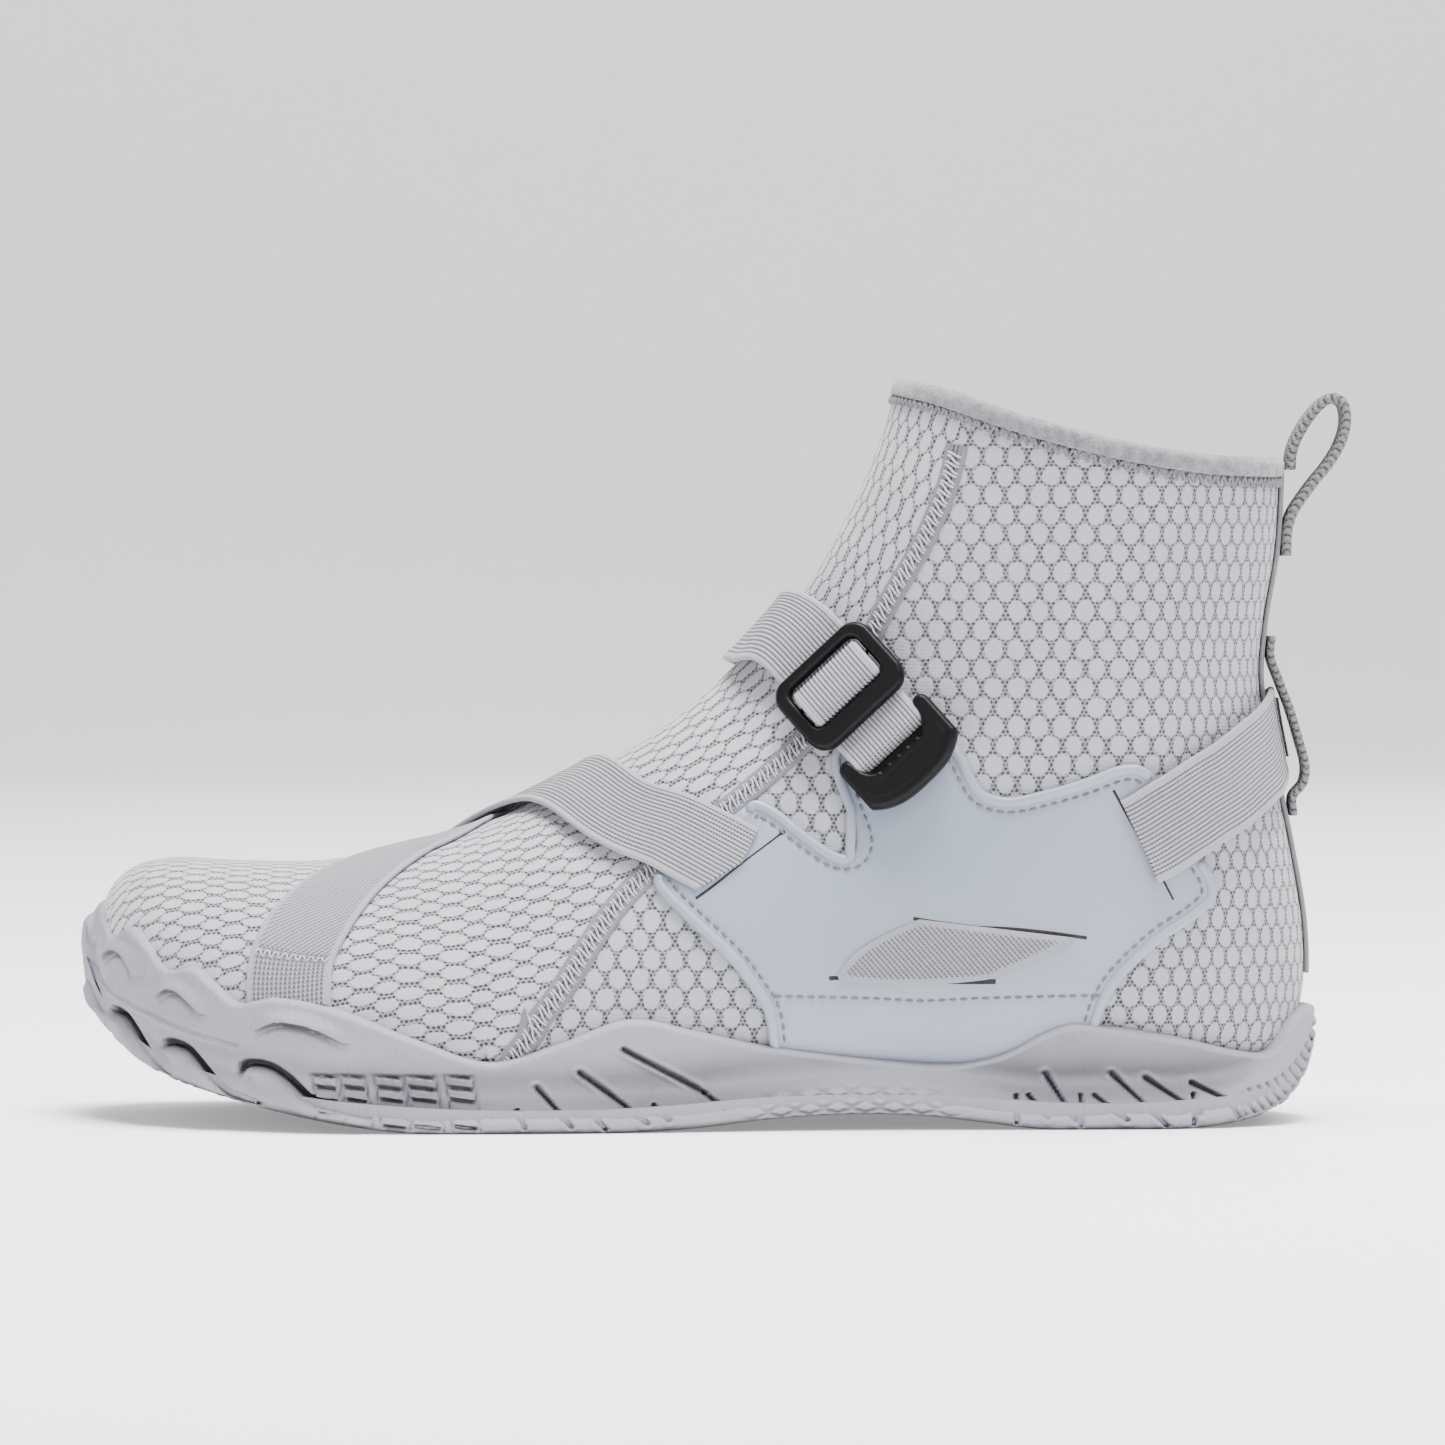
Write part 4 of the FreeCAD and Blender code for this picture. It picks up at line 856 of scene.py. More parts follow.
def build_instep(width):
    """Upper crossing band: from the overlay's front slot over the instep and down to the inner forefoot."""
    keys = [key(6.6, 59.7, 1), key(-8.0, 66.8, 1), key(-22.0, 72.0, 1), (8.75, 0.0, 0.0), key(-58.0, 57.0, -1),
            key(-75.0, 44.0, -1), key(-81.0, 25.0, -1)]
    place, length = ribbon(keys)

    def settle(a, v, h):
        near = smoothstep(16.0, 0.0, a)
        return place(a + 0.51 * v * near + 0.4, v, h - 0.7 * near)
    return webbing("instep_webbing", settle, length, width, 2.0, 3.15, 0.8, 81, **RIBBED)


def build_ankle(width):
    """Ankle strap from the inner ankle round the front to where its free end begins: the length that stays put
    and the short one that bends into the free end."""
    keys = [key(52.0, 76.0, -1), key(45.0, 84.0, -1), key(31.0, 99.0, -1), key(20.0, 109.0, -1), (13.0, 0.0, 0.0)]
    keys += [key(31.0 - 0.667 * d, 99.5 + 0.745 * d, 1, lift) for d, lift in ((15.5, 2.3), (12.6, 1.75))]
    along_sock, length = ribbon(keys)

    def place(a, v, h):
        flat = smoothstep(length - 17.0, length - 1.5, a)[..., None]
        return along_sock(a, v, h) * (1 - flat) + on_buckle(a - length - 12.9, v, h - 2.05) * flat
    bend, layer = 16.0, (2.1, 3.35)
    return (webbing("ankle_webbing", place, length, width, *layer, 0.8, 81, ends=(0.0, bend), **RIBBED),
            webbing("ankle_webbing_bend", place, length, width, *layer, 0.5, 81, ends=(length - bend, 0.0), **RIBBED))


def build_heel_strap():
    """Band round the heel, from the outer overlay's rear slot to the inner one, under the keeper."""
    keys = [key(97.5, 65.6, 1), key(107.0, 71.4, 1), key(116.0, 77.2, 1), key(125.0, 84.0, 1)]
    keys = keys + [(18.42, math.pi, 0.0)] + [(s, 2 * math.pi - t, lift) for s, t, lift in reversed(keys)]
    place, length = ribbon(keys)
    return webbing("heel_webbing", place, length, 21.0, 1.95, 3.15, 0.8, 85, **RIBBED)


def build_heel_tapes():
    """Tape up the heel seam, the glossy liner strip and the keeper that the heel band runs through."""
    place, length = ribbon([(15.4, math.pi), (17.0, math.pi), (19.0, math.pi), (21.93, math.pi)])
    tape = webbing("heel_seam_tape", place, length, 12.0, 0.1, 1.05, 0.7, 41, ribs=0.0, selvedge=0.1)
    place, length = ribbon([(18.06, math.pi), (18.4, math.pi), (18.78, math.pi)])
    liner = webbing("keeper_liner", place, length, 11.8, 3.5, 4.0, 0.6, 25, selvedge=0.0)
    keeper = edge_on("keeper_webbing", np.stack([heel_x(KEEPER[:, 0]) + KEEPER[:, 1], KEEPER[:, 0]], -1), 6.0, 1.7)
    loop = edge_on("pull_loop_webbing", PULL_LOOP, 6.0, 2.3)
    return tape, liner, keeper, loop


# ---------------------------------------------------------------- rubber sole
GRID_X, GRID_Z = np.arange(-152.0, 152.5, 2.0), np.arange(0.0, 80.5, 2.0)
# Side-view lines of the moulding, in millimetres
CRESCENTS = [[(-141.4, 37.2), (-138.6, 39.6), (-135.5, 39.5), (-133.6, 37.2), (-132.3, 33.4)],
             [(-127.4, 29.4), (-124.6, 31.6), (-121.8, 31.5), (-119.0, 29.4), (-116.3, 26.2)],
             [(-104.0, 23.0), (-99.0, 25.0), (-94.0, 24.8), (-88.5, 23.2), (-83.0, 20.4)],
             [(-147.4, 43.6), (-146.4, 45.0), (-145.6, 44.6), (-144.4, 40.7)]]
PARTING = [(-147.2, 36.9), (-143.0, 35.3), (-140.7, 31.6), (-134.9, 28.3), (-128.1, 25.8), (-122.3, 23.5),
           (-116.0, 21.4), (-107.9, 19.3)]
PODS = [[(-146.7, 33.2), (-143.9, 31.1), (-141.8, 27.2), (-140.2, 24.6)],
        [(-139.5, 26.2), (-135.5, 25.1), (-132.8, 22.1), (-129.3, 17.2), (-125.6, 13.5), (-123.2, 11.4)],
        [(-126.3, 18.4), (-123.9, 19.5), (-119.8, 18.4), (-117.0, 15.6), (-113.2, 11.4), (-109.8, 8.8),
         (-104.4, 6.7), (-101.2, 5.6)],
        [(-107.9, 12.5), (-105.8, 15.3), (-100.7, 15.1), (-96.3, 12.5), (-92.3, 8.8), (-89.1, 6.7), (-83.5, 5.6),
         (-76.3, 3.7)]]
SIPES = [[(-39.6, 10.2), (-31.7, 1.6)], [(-29.9, 13.7), (-14.5, 2.1)], [(-19.9, 19.0), (-1.7, 8.8)],
         [(-44.0, 5.1), (-42.2, 1.4)], [(-25.9, 3.0), (-23.6, 0.7)], [(-13.1, 6.0), (-9.6, 2.8)],
         [(-1.3, 8.4), (2.9, 5.3)], [(76.3, 12.3), (83.0, 2.1)], [(91.4, 12.3), (104.4, 0.5)],
         [(99.3, 11.2), (111.9, 3.3)], [(110.0, 10.0), (118.6, 6.0), (121.4, 1.6)], [(72.4, 7.4), (76.8, 2.8)],
         [(87.5, 7.4), (94.9, 2.1)], [(69.6, 7.4), (69.6, 0.0)], [(84.4, 7.4), (84.4, 0.0)],
         [(110.5, 7.4), (110.5, 0.0)]]
BLOCK_COLUMNS = [(-87.1, 5.0), (-80.6, 5.0), (-72.5, 5.6), (-65.1, 6.2), (-56.4, 5.6)]


# Station number of every place on that grid
STATION_GRID = station_at(*np.meshgrid(GRID_X, GRID_Z, indexing="ij"))


def from_grid(x, z):
    """Station at side-view places, read between the nearest four of a 2 mm grid."""
    i = np.clip((x - GRID_X[0]) / 2.0, 0, len(GRID_X) - 1.001)
    j = np.clip((z - GRID_Z[0]) / 2.0, 0, len(GRID_Z) - 1.001)
    a, b = i.astype(int), j.astype(int)
    u, w = i - a, j - b
    g = STATION_GRID
    return ((g[a, b] * (1 - u) + g[a + 1, b] * u) * (1 - w) + (g[a, b + 1] * (1 - u) + g[a + 1, b + 1] * u) * w)


def outside(x, y, z, lift):
    """Over 1 outside the sock grown by lift, under 1 inside it: |c|^p + |y'|^p of the section at each point."""
    s = from_grid(x, z)
    fx, fz, bx, bz, outer, inner, ridge, wide, low, high = np.moveaxis(through(STATION_PLACES, STATIONS, s), -1, 0)
    span = np.hypot(fx - bx, fz - bz)
    c = ((x - bx) * (fx - bx) + (z - bz) * (fz - bz)) / span ** 2 - wide
    middle = (outer + inner) / 2 + ridge * np.maximum(0, c / (1 - wide)) ** 2
    power = np.where(c >= 0, high, low)
    up = np.abs(c) * span / (np.where(c >= 0, 1 - wide, wide) * span + lift)
    across = np.abs(y - middle) / ((inner - outer) / 2 + lift)
    ahead = np.maximum(0, -144.0 - x) / lift
    return up ** power + across ** power + ahead ** 2


def moulding(x, z):
    """Relief of the rand from the side: crescent ridges at the toes, the parting line, the toe pods' grooves,
    stacked block sipes, long slanted sipes, the diamond scales of the waist and the serrated heel end."""
    ground = at_x(GROUND, x)
    rise = z - ground
    relief = 0.10 * noise(x / 9, z / 6, 11)
    for line in CRESCENTS:
        line = smooth_line(line, 0.5)
        d, place = to_line(x, z, line[::2])
        length = arc_length(line, 0)[-1]
        fade = np.sin(np.clip(place / length, 0, 1) * math.pi) ** 0.6
        level = np.interp(x, line[:, 0], line[:, 1])
        above = np.where(z > level, smoothstep(3.4, 0.0, d), smoothstep(0.7, 0.0, d))
        relief += fade * (1.7 * above - 0.9 * np.exp(-((d - 1.0) / 0.6) ** 2) * (z < level))
    d = to_line(x, z, smooth_line(PARTING, 1.5))[0]
    relief -= 0.35 * smoothstep(0.8, 0.1, d)
    for line in PODS:
        line = smooth_line(line, 1.2)
        d, place = to_line(x, z, line)
        level = np.interp(x, line[:, 0], line[:, 1])
        length = arc_length(line, 0)[-1]
        fade = smoothstep(-0.5, 3.0, place) * smoothstep(-0.5, 4.0, length - place)
        relief += fade * (-2.4 * smoothstep(1.15, 0.3, d) + 1.3 * (z < level) * smoothstep(0.6, 2.2, d)
                          * smoothstep(7.0, 2.0, d))
    for line in SIPES:
        d = to_line(x, z, line)[0]
        relief -= 1.4 * smoothstep(0.75, 0.2, d) - 0.3 * np.exp(-((d - 1.2) / 0.5) ** 2)
    for middle, width in BLOCK_COLUMNS:
        lean = (x - middle - (7.5 - z) * 0.16)
        inside = smoothstep(width / 2, width / 2 - 0.5, np.abs(lean)) * smoothstep(0.6, 1.4, rise)
        inside = inside * smoothstep(13.8, 12.6, z)
        slit = np.abs((z + 0.12 * lean) / 2.9 % 1.0 - 0.5) * 2.9
        relief -= 1.2 * inside * smoothstep(0.7, 0.15, slit)
        relief -= 0.8 * smoothstep(13.8, 12.6, z) * np.exp(-((np.abs(lean) - width / 2 - 0.35) / 0.35) ** 2)
    a, b = (x / 6.4 + rise / 3.4), (x / 6.4 - rise / 3.4)
    line = np.minimum(np.abs(a % 1.0 - 0.5), np.abs(b % 1.0 - 0.5))
    zone = smoothstep(5, 14, x) * smoothstep(60, 50, x) * smoothstep(7.6, 4.6, rise)
    relief += zone * (0.8 * smoothstep(0.02, 0.3, line) - 0.6)
    zone = smoothstep(120.5, 123, x) * smoothstep(7.4, 6.2, rise) * smoothstep(0.4, 1.2, rise)
    relief -= zone * 0.9 * smoothstep(0.35, 0.1, np.abs((x * 0.8 + z * 0.6) / 2.1 % 1.0 - 0.5))
    return relief


def soften(field, times):
    """Field averaged with its neighbours along both directions, a few times."""
    for _ in range(times):
        for axis in (0, 1):
            padded = np.concatenate([np.take(field, [0], axis), field, np.take(field, [-1], axis)], axis)
            low, mid, high = (np.take(padded, np.arange(n, n + field.shape[axis]), axis) for n in (0, 1, 2))
            field = (low + 2 * mid + high) / 4
    return field


def build_wall(side):
    """Rand of one side: the plan outline below, drawn in to RAND_LIFT off the sock above, with its moulding."""
    column = 1 if side > 0 else 2
    outline = smooth_line(SOLE_PLAN[:, [0, column]], 0.56)
    outline = np.concatenate([[(-147.9, 17.0)], outline[outline[:, 0] > -147.7]])
    outward = unit(np.gradient(outline, axis=0))
    for _ in range(12):
        outward[1:-1] = unit(outward[:-2] + 2 * outward[1:-1] + outward[2:])
    outward = side * np.stack([outward[:, 1], -outward[:, 0]], -1)
    x, y = outline[:, 0][None], outline[:, 1][None]
    nx, ny = outward[:, 0][None], outward[:, 1][None]
    u = np.linspace(0, 1, 74)[:, None]
    ground = at_x(GROUND, x)
    top = at_x(RAND_TOP, x)
    for _ in range(3):
        z = ground + 0.05 + (top - ground) * u

        def met(d):
            return outside(x - nx * d, y - ny * d, z, RAND_LIFT) < 1
        d = halve(np.zeros(z.shape), np.full(z.shape, 30.0), met, 18)
        d = np.minimum(d, 29.0)
        inset = d * smoothstep(2.0, 13.0, z - ground)
        top = at_x(RAND_TOP, np.clip(x - nx * inset[-1:], -148, 141))
    inset = soften(inset, 3)
    fx = x - nx * inset
    relief = moulding(fx, z) * smoothstep(0, 1.0, z - ground) * smoothstep(0, 1.6, top - z)
    relief = relief * (0.15 + 0.85 * smoothstep(-147.9, -144.4, x))
    inset = inset + round_edge(z - ground, 1.8) - relief + 1.1 * round_edge(top - z + 0.1, 1.5)
    lip = np.array([(1.5, 0.35), (2.4, 0.3), (3.6, -0.6)])[:, :, None]
    relief = np.concatenate([relief, np.zeros((3, x.shape[1]))])
    inset = np.concatenate([inset, inset[-1:] + lip[:, 0]])
    z = np.concatenate([z, z[-1:] + lip[:, 1]])
    face = np.stack([x - nx * inset, y - ny * inset, z], -1)
    back = inset + 3.4
    lining = np.stack([x - nx * back, y - ny * back, np.minimum(z, z[-1:] - 1.0)], -1)
    uv = np.stack([x + 0 * z, z], -1)
    # The relief is also stored as cut so that the rubber can paint shade into the deep cuts.
    return slab("rand_" + SIDE_NAMES[side], face, lining, uv=uv, values={"cut": relief}, flip=side < 0, crease=50)


def build_tread():
    """Underside: wavy cross grooves under the ball and heel, scales in the waist, and a round edge."""
    u, w = np.linspace(0, 1, 560)[:, None], np.linspace(-1, 1, 84)[None]
    x = -147.0 + 287.0 * u + 0 * w
    outer, inner = (np.interp(x, SOLE_PLAN[:, 0], SOLE_PLAN[:, c]) for c in (1, 2))
    y = (outer + inner) / 2 + ((inner - outer) / 2 - 0.9) * w
    wave = 2.2 * np.sin(y / 7.5) + 0.08 * y
    groove = smoothstep(0.9, 0.35, np.abs(((x + wave) / 11.0) % 1.0 - 0.5) * 11.0)
    fine = smoothstep(0.45, 0.15, np.abs(((x + wave) / 2.75) % 1.0 - 0.5) * 2.75)
    split = smoothstep(0.8, 0.3, np.abs(((y + 1.6 * np.sin(x / 9)) / 14.0) % 1.0 - 0.5) * 14.0)
    a, b = (x / 6.4 + y / 4.6), (x / 6.4 - y / 4.6)
    scale = smoothstep(0.3, 0.02, np.minimum(np.abs(a % 1.0 - 0.5), np.abs(b % 1.0 - 0.5)))
    waist = smoothstep(-12, 2, x) * smoothstep(72, 60, x)
    depth = (1 - waist) * np.maximum(np.maximum(1.5 * groove, 0.5 * fine), 1.2 * split) + 0.5 * waist * scale
    edge = (1 - np.abs(w)) * (inner - outer) / 2
    z = at_x(GROUND, x) + depth * smoothstep(1.0, 0.97, np.abs(w)) + round_edge(edge, 1.4)
    base = np.stack([x, y, z], -1)
    cover = np.stack([x, y, np.maximum(at_x(FLOOR, x) - 0.4, z + 1.5)], -1)
    return slab("tread", base, cover, uv=np.stack([x, y], -1), flip=False, crease=50)


# ---------------------------------------------------------------- materials
def linear(code):
    """Linear colour of an sRGB code such as "bac2cc"."""
    c = np.array([int(code[i:i + 2], 16) / 255 for i in (0, 2, 4)])
    return tuple(np.where(c <= 0.04045, c / 12.92, ((c + 0.055) / 1.055) ** 2.4)) + (1.0,)


def add(tree, kind, inputs=None, out=0, **settings):
    """One node: its settings, then each input set to a value or linked from another node's output."""
    node = tree.nodes.new(kind)
    for name, value in settings.items():
        setattr(node, name, value)
    for name, value in (inputs or {}).items():
        if isinstance(value, bpy.types.NodeSocket):
            tree.links.new(value, node.inputs[name])
        else:
            node.inputs[name].default_value = value
    return node.outputs[out]


def surface(name, colour, roughness, height, depth, **more):
    """Material from a height field and a colour that reads it, both functions of the tree. Depth is the bump's,
    in millimetres."""
    material = bpy.data.materials.new(name)
    material.use_nodes = True
    tree = material.node_tree
    tree.nodes.clear()
    height = height(tree)
    normal = add(tree, "ShaderNodeBump", {"Height": height, "Distance": depth * MM, "Strength": 1.0})
    inputs = {"Normal": normal, "Base Color": colour(tree, height), "Roughness": roughness}
    inputs.update(more)
    tree.links.new(add(tree, "ShaderNodeBsdfPrincipled", inputs),
                   tree.nodes.new("ShaderNodeOutputMaterial").inputs["Surface"])
    return material


def cloth_uv(tree):
    """Place on the cloth in millimetres."""
    return add(tree, "ShaderNodeUVMap", uv_map="cloth")


def object_mm(tree):
    """Place in the piece in millimetres."""
    return add(tree, "ShaderNodeVectorMath", {0: add(tree, "ShaderNodeTexCoord", out=3), 1: (1000.0,) * 3},
               operation="MULTIPLY")


def cell(tree, place, pitch, half, shift=(0.0, 0.0)):
    """Distance from the nearest middle of a lattice, 1 on the ellipse of those half widths."""
    p = add(tree, "ShaderNodeVectorMath", {0: place, 1: (1 / pitch[0], 1 / pitch[1], 0), 2: (shift[0], shift[1], 0)},
            operation="MULTIPLY_ADD")
    p = add(tree, "ShaderNodeVectorMath", {0: p}, operation="FRACTION")
    p = add(tree, "ShaderNodeVectorMath", {0: p, 1: (0.5, 0.5, 0)}, operation="SUBTRACT")
    grow = (pitch[0] / half[0], pitch[1] / half[1], 0)
    p = add(tree, "ShaderNodeVectorMath", {0: p, 1: grow}, operation="MULTIPLY")
    return add(tree, "ShaderNodeVectorMath", {0: p}, out=1, operation="LENGTH")


def ramp(tree, value, low, high):
    """0 at low and 1 at high, smoothly."""
    return add(tree, "ShaderNodeMapRange", {0: value, 1: low, 2: high}, interpolation_type="SMOOTHSTEP")


def both(tree, a, b, how="MULTIPLY"):
    """Two values put together."""
    return add(tree, "ShaderNodeMath", {0: a, 1: b}, operation=how)


def chosen(name):
    """Colour picked in the panel."""
    return tuple(getattr(bpy.context.scene.boot_finish, name))


def tint(tree, share, *ends):
    """Colour between two, each a code or a picked colour."""
    a, b = (linear(end) if isinstance(end, str) else end for end in ends)
    return add(tree, "ShaderNodeMix", {0: share, 6: a, 7: b}, out=2, data_type="RGBA")


def speckle(tree, place, scale, detail=2.0, stretch=(1.0, 1.0, 1.0)):
    """Noise of about 1 / scale millimetres."""
    p = add(tree, "ShaderNodeVectorMath", {0: place, 1: stretch}, operation="MULTIPLY")
    return add(tree, "ShaderNodeTexNoise", {"Vector": p, "Scale": scale, "Detail": detail})


def knit_face(name, light, dark, pitch, big, small):
    """Jacquard knit laid on neoprene: plump pale cells in offset rows on a ground of dark pin-holes, so that the
    upper reads as mesh. Pitch, big and small are the rows' spacing and the cells' half widths in millimetres;
    pin-holes are drawn at 1.1 by 1.9 mm, coarser than the yarn, so that they show."""
    def height(tree):
        uv = cloth_uv(tree)
        drift = add(tree, "ShaderNodeVectorMath", {0: speckle(tree, uv, 0.25), 1: (1.2,) * 3}, operation="MULTIPLY")
        uv = add(tree, "ShaderNodeVectorMath", {0: uv, 1: drift}, operation="ADD")
        oval = ramp(tree, cell(tree, uv, pitch, big), 1.12, 0.82)
        diamond = ramp(tree, cell(tree, uv, pitch, small, (0.5, 0.5)), 1.15, 0.8)
        cells = both(tree, oval, diamond, "MAXIMUM")
        dots = both(tree, cell(tree, uv, (1.1, 1.9), (0.33, 0.33)),
                    cell(tree, uv, (1.1, 1.9), (0.33, 0.33), (0.5, 0.5)), "MINIMUM")
        pit = both(tree, ramp(tree, dots, 1.35, 0.6), both(tree, 1.0, cells, "SUBTRACT"))
        yarn = both(tree, cell(tree, uv, (0.55, 0.8), (0.3, 0.45)), -0.2)
        body = both(tree, both(tree, cells, 0.55), both(tree, pit, -1.0), "ADD")
        return both(tree, body, yarn, "ADD")

    def colour(tree, field):
        share = ramp(tree, field, -0.85, 0.5)
        patch = both(tree, speckle(tree, object_mm(tree), 0.035, 1.0), 0.22)
        return tint(tree, both(tree, share, both(tree, patch, 0.89, "ADD")), dark, light)
    return surface(name, colour, 0.82, height, 0.42, **{"Sheen Weight": 0.25, "Sheen Roughness": 0.5})


def elastic(name, light, dark, lean, pitch, cross, depth):
    """Woven elastic: raised ribs with a finer cross weave between them and pale plain selvedges."""
    def height(tree):
        uv = add(tree, "ShaderNodeVectorRotate", {"Vector": cloth_uv(tree), "Angle": math.radians(lean)},
                 rotation_type="Z_AXIS")
        parts = add(tree, "ShaderNodeSeparateXYZ", {0: uv})
        rib = both(tree, both(tree, parts, 2 * math.pi / cross), 0.0, "SINE")
        along = add(tree, "ShaderNodeSeparateXYZ", {0: uv}, out=1)
        wale = both(tree, both(tree, along, 2 * math.pi / pitch), 0.0, "COSINE")
        weave = both(tree, both(tree, wale, 0.55), both(tree, both(tree, rib, wale), 0.3), "ADD")
        edge = add(tree, "ShaderNodeAttribute", out=2, attribute_name="edge")
        body = ramp(tree, edge, 1.0, 1.6)
        fuzz = both(tree, speckle(tree, uv, 2.6), 0.25)
        return both(tree, both(tree, both(tree, weave, body), 0.35, "ADD"), fuzz, "ADD")

    def colour(tree, field):
        return tint(tree, ramp(tree, field, -0.3, 0.75), dark, light)
    return surface(name, colour, 0.75, height, depth, **{"Sheen Weight": 0.15})


def brushed_binding(name):
    """Brushed jersey binding: short random fibres and a soft sheen, so it reads darker and duller than the knit."""
    def height(tree):
        return both(tree, speckle(tree, object_mm(tree), 2.8, 4.0), speckle(tree, object_mm(tree), 0.5, 2.0), "ADD")

    def colour(tree, field):
        return tint(tree, ramp(tree, field, 0.7, 1.3), "5c5c62", "86868c")
    return surface(name, colour, 0.95, height, 0.35, **{"Sheen Weight": 0.5, "Sheen Roughness": 0.6})


def moulded_skin(name, light, dark, roughness):
    """Moulded polyurethane: smooth and satin, with a faint leather-like cloud and slight handling marks."""
    def height(tree):
        cloud = both(tree, speckle(tree, object_mm(tree), 0.08), 0.8)
        return both(tree, speckle(tree, object_mm(tree), 0.9, 4.0), cloud, "ADD")

    def colour(tree, field):
        return tint(tree, ramp(tree, speckle(tree, object_mm(tree), 0.02, 1.0), 0.3, 0.7), dark, light)
    return surface(name, colour, roughness, height, 0.07)


def sole_rubber(name):
    """Moulded rubber: fine upright wrinkles and grit, pale where edges rub, with painted shade in the cuts and on
    faces that point down.
    """
    def height(tree):
        wrinkle = speckle(tree, object_mm(tree), 0.85, 5.0, (1.0, 1.0, 0.35))
        return both(tree, wrinkle, both(tree, speckle(tree, object_mm(tree), 2.6, 2.0), 0.35), "ADD")

    def colour(tree, field):
        cloud = speckle(tree, object_mm(tree), 0.05, 3.0)
        worn = add(tree, "ShaderNodeNewGeometry", out=7)
        share = both(tree, ramp(tree, both(tree, cloud, both(tree, field, 0.25), "ADD"), -0.6, 0.9),
                     both(tree, ramp(tree, worn, 0.46, 0.54), 0.3), "ADD")
        cut = add(tree, "ShaderNodeAttribute", out=2, attribute_name="cut")
        down = add(tree, "ShaderNodeSeparateXYZ", {0: add(tree, "ShaderNodeNewGeometry", out=1)}, out=2)
        # Painted shade: the colour darkens in the deep cuts of the moulding and on faces that turn down towards the
        # floor.
        shade = both(tree, ramp(tree, cut, -1.5, -0.25), ramp(tree, down, -1.05, 0.1))
        return tint(tree, both(tree, share, shade), "2c2c31", chosen("rubber"))
    return surface(name, colour, 0.62, height, 0.42)


def black_acetal(name):
    """Spark-eroded black acetal: near black with a fine even grain and a broad satin highlight."""
    def height(tree):
        return speckle(tree, object_mm(tree), 5.0, 2.0)

    def colour(tree, field):
        return tint(tree, ramp(tree, field, 0.3, 0.7), "050506", chosen("plastic"))
    return surface(name, colour, 0.4, height, 0.05, **{"Specular IOR Level": 0.16})


def plain_cloth(name, light, dark, scale=1.4, roughness=0.9):
    """Small-scale fibre: used for sewing thread, the jersey lining, the footbed's cover and the sewn board."""
    def height(tree):
        return speckle(tree, object_mm(tree), scale, 4.0)

    def colour(tree, field):
        return tint(tree, ramp(tree, field, 0.25, 0.75), dark, light)
    return surface(name, colour, roughness, height, 0.2, **{"Sheen Weight": 0.2})


MAKERS = {
    "knit_vamp": lambda: knit_face("knit_vamp_face", chosen("vamp_knit"), "2c2c31", (9.9, 4.2), (3.3, 1.6),
                                   (2.7, 1.5)),
    "knit_quarter": lambda: knit_face("knit_quarter_face", chosen("quarter_knit"), "3a3a40", (5.2, 8.8),
                                      (2.15, 2.55), (2.05, 2.4)),
    "binding": lambda: brushed_binding("brushed_binding"),
    "seam_tape": lambda: elastic("seam_ground", "77777e", "1d1d21", 0.0, 1.1, 0.9, 0.3),
    "overlay_skin": lambda: moulded_skin("moulded_polyurethane", chosen("skin"), "8990a0", 0.42),
    "piping": lambda: moulded_skin("polyurethane_piping", "9499a6", "8c91a0", 0.38),
    "webbing": lambda: elastic("elastic_webbing", chosen("webbing"), "26252a", 0.0, 1.0, 0.62, 0.3),
    "low_webbing": lambda: elastic("fine_elastic", "9a9aa0", "5a5a61", 38.0, 0.95, 0.8, 0.26),
    "arch_webbing": lambda: elastic("ribbed_elastic", "95959c", "47474e", 48.0, 0.95, 0.8, 0.34),
    "patch": lambda: elastic("waffle_webbing", "9d9da3", "515157", 0.0, 1.05, 1.05, 0.45),
    "tape": lambda: elastic("woven_tape", "77777a", "2c2c30", 38.0, 1.1, 0.8, 0.35),
    "sole_rubber": lambda: sole_rubber("grained_rubber"),
    "black_plastic": lambda: black_acetal("black_acetal"),
    "liner": lambda: moulded_skin("glossy_liner", "26262a", "19191c", 0.2),
    "slit": lambda: plain_cloth("slit_shadow", "2a2a30", "0e0e12"),
    "thread": lambda: plain_cloth("sewing_thread", "bfbfc2", "9b9ba0", 2.4, 0.7),
    "overlay_thread": lambda: plain_cloth("overlay_thread", "6f737c", "4d515a", 2.4, 0.7),
    "collar_thread": lambda: plain_cloth("collar_thread", "86868b", "55555b", 2.4, 0.8),
    "lining": lambda: plain_cloth("jersey_lining", "a4a4a7", "818185", 1.1),
    "footbed_foam": lambda: plain_cloth("brushed_footbed", "8e9094", "6c6e73", 0.9),
    "board": lambda: plain_cloth("stitched_board", "a6a6a8", "868688", 0.7),
}
MADE = {}


def material(name):
    """The named finish, made when it is first asked for."""
    if name not in MADE:
        MADE[name] = MAKERS[name]()
    return MADE[name]


def finish(piece, body, slot, nodes=(), look=None, inside=None):
    """Rides the piece on its body, gives it its finish and hides the CAD nodes it stands for."""
    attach(piece, body)
    dress(piece, slot, nodes, look, inside)


def dress(piece, slot, nodes=(), look=None, inside=None):
    """Material slots of a piece: its face, and another for its hidden side where it has one."""
    piece.data.materials.append(material(look or slot))
    piece.data.materials.append(material(inside or look or slot))
    if nodes:
        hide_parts(*nodes)


# ---------------------------------------------------------------- operators
def hue(name, description, code):
    """A colour that can be picked in the panel."""
    return bpy.props.FloatVectorProperty(name=name, description=description, subtype="COLOR", size=4,
                                         min=0.0, max=1.0, default=linear(code))


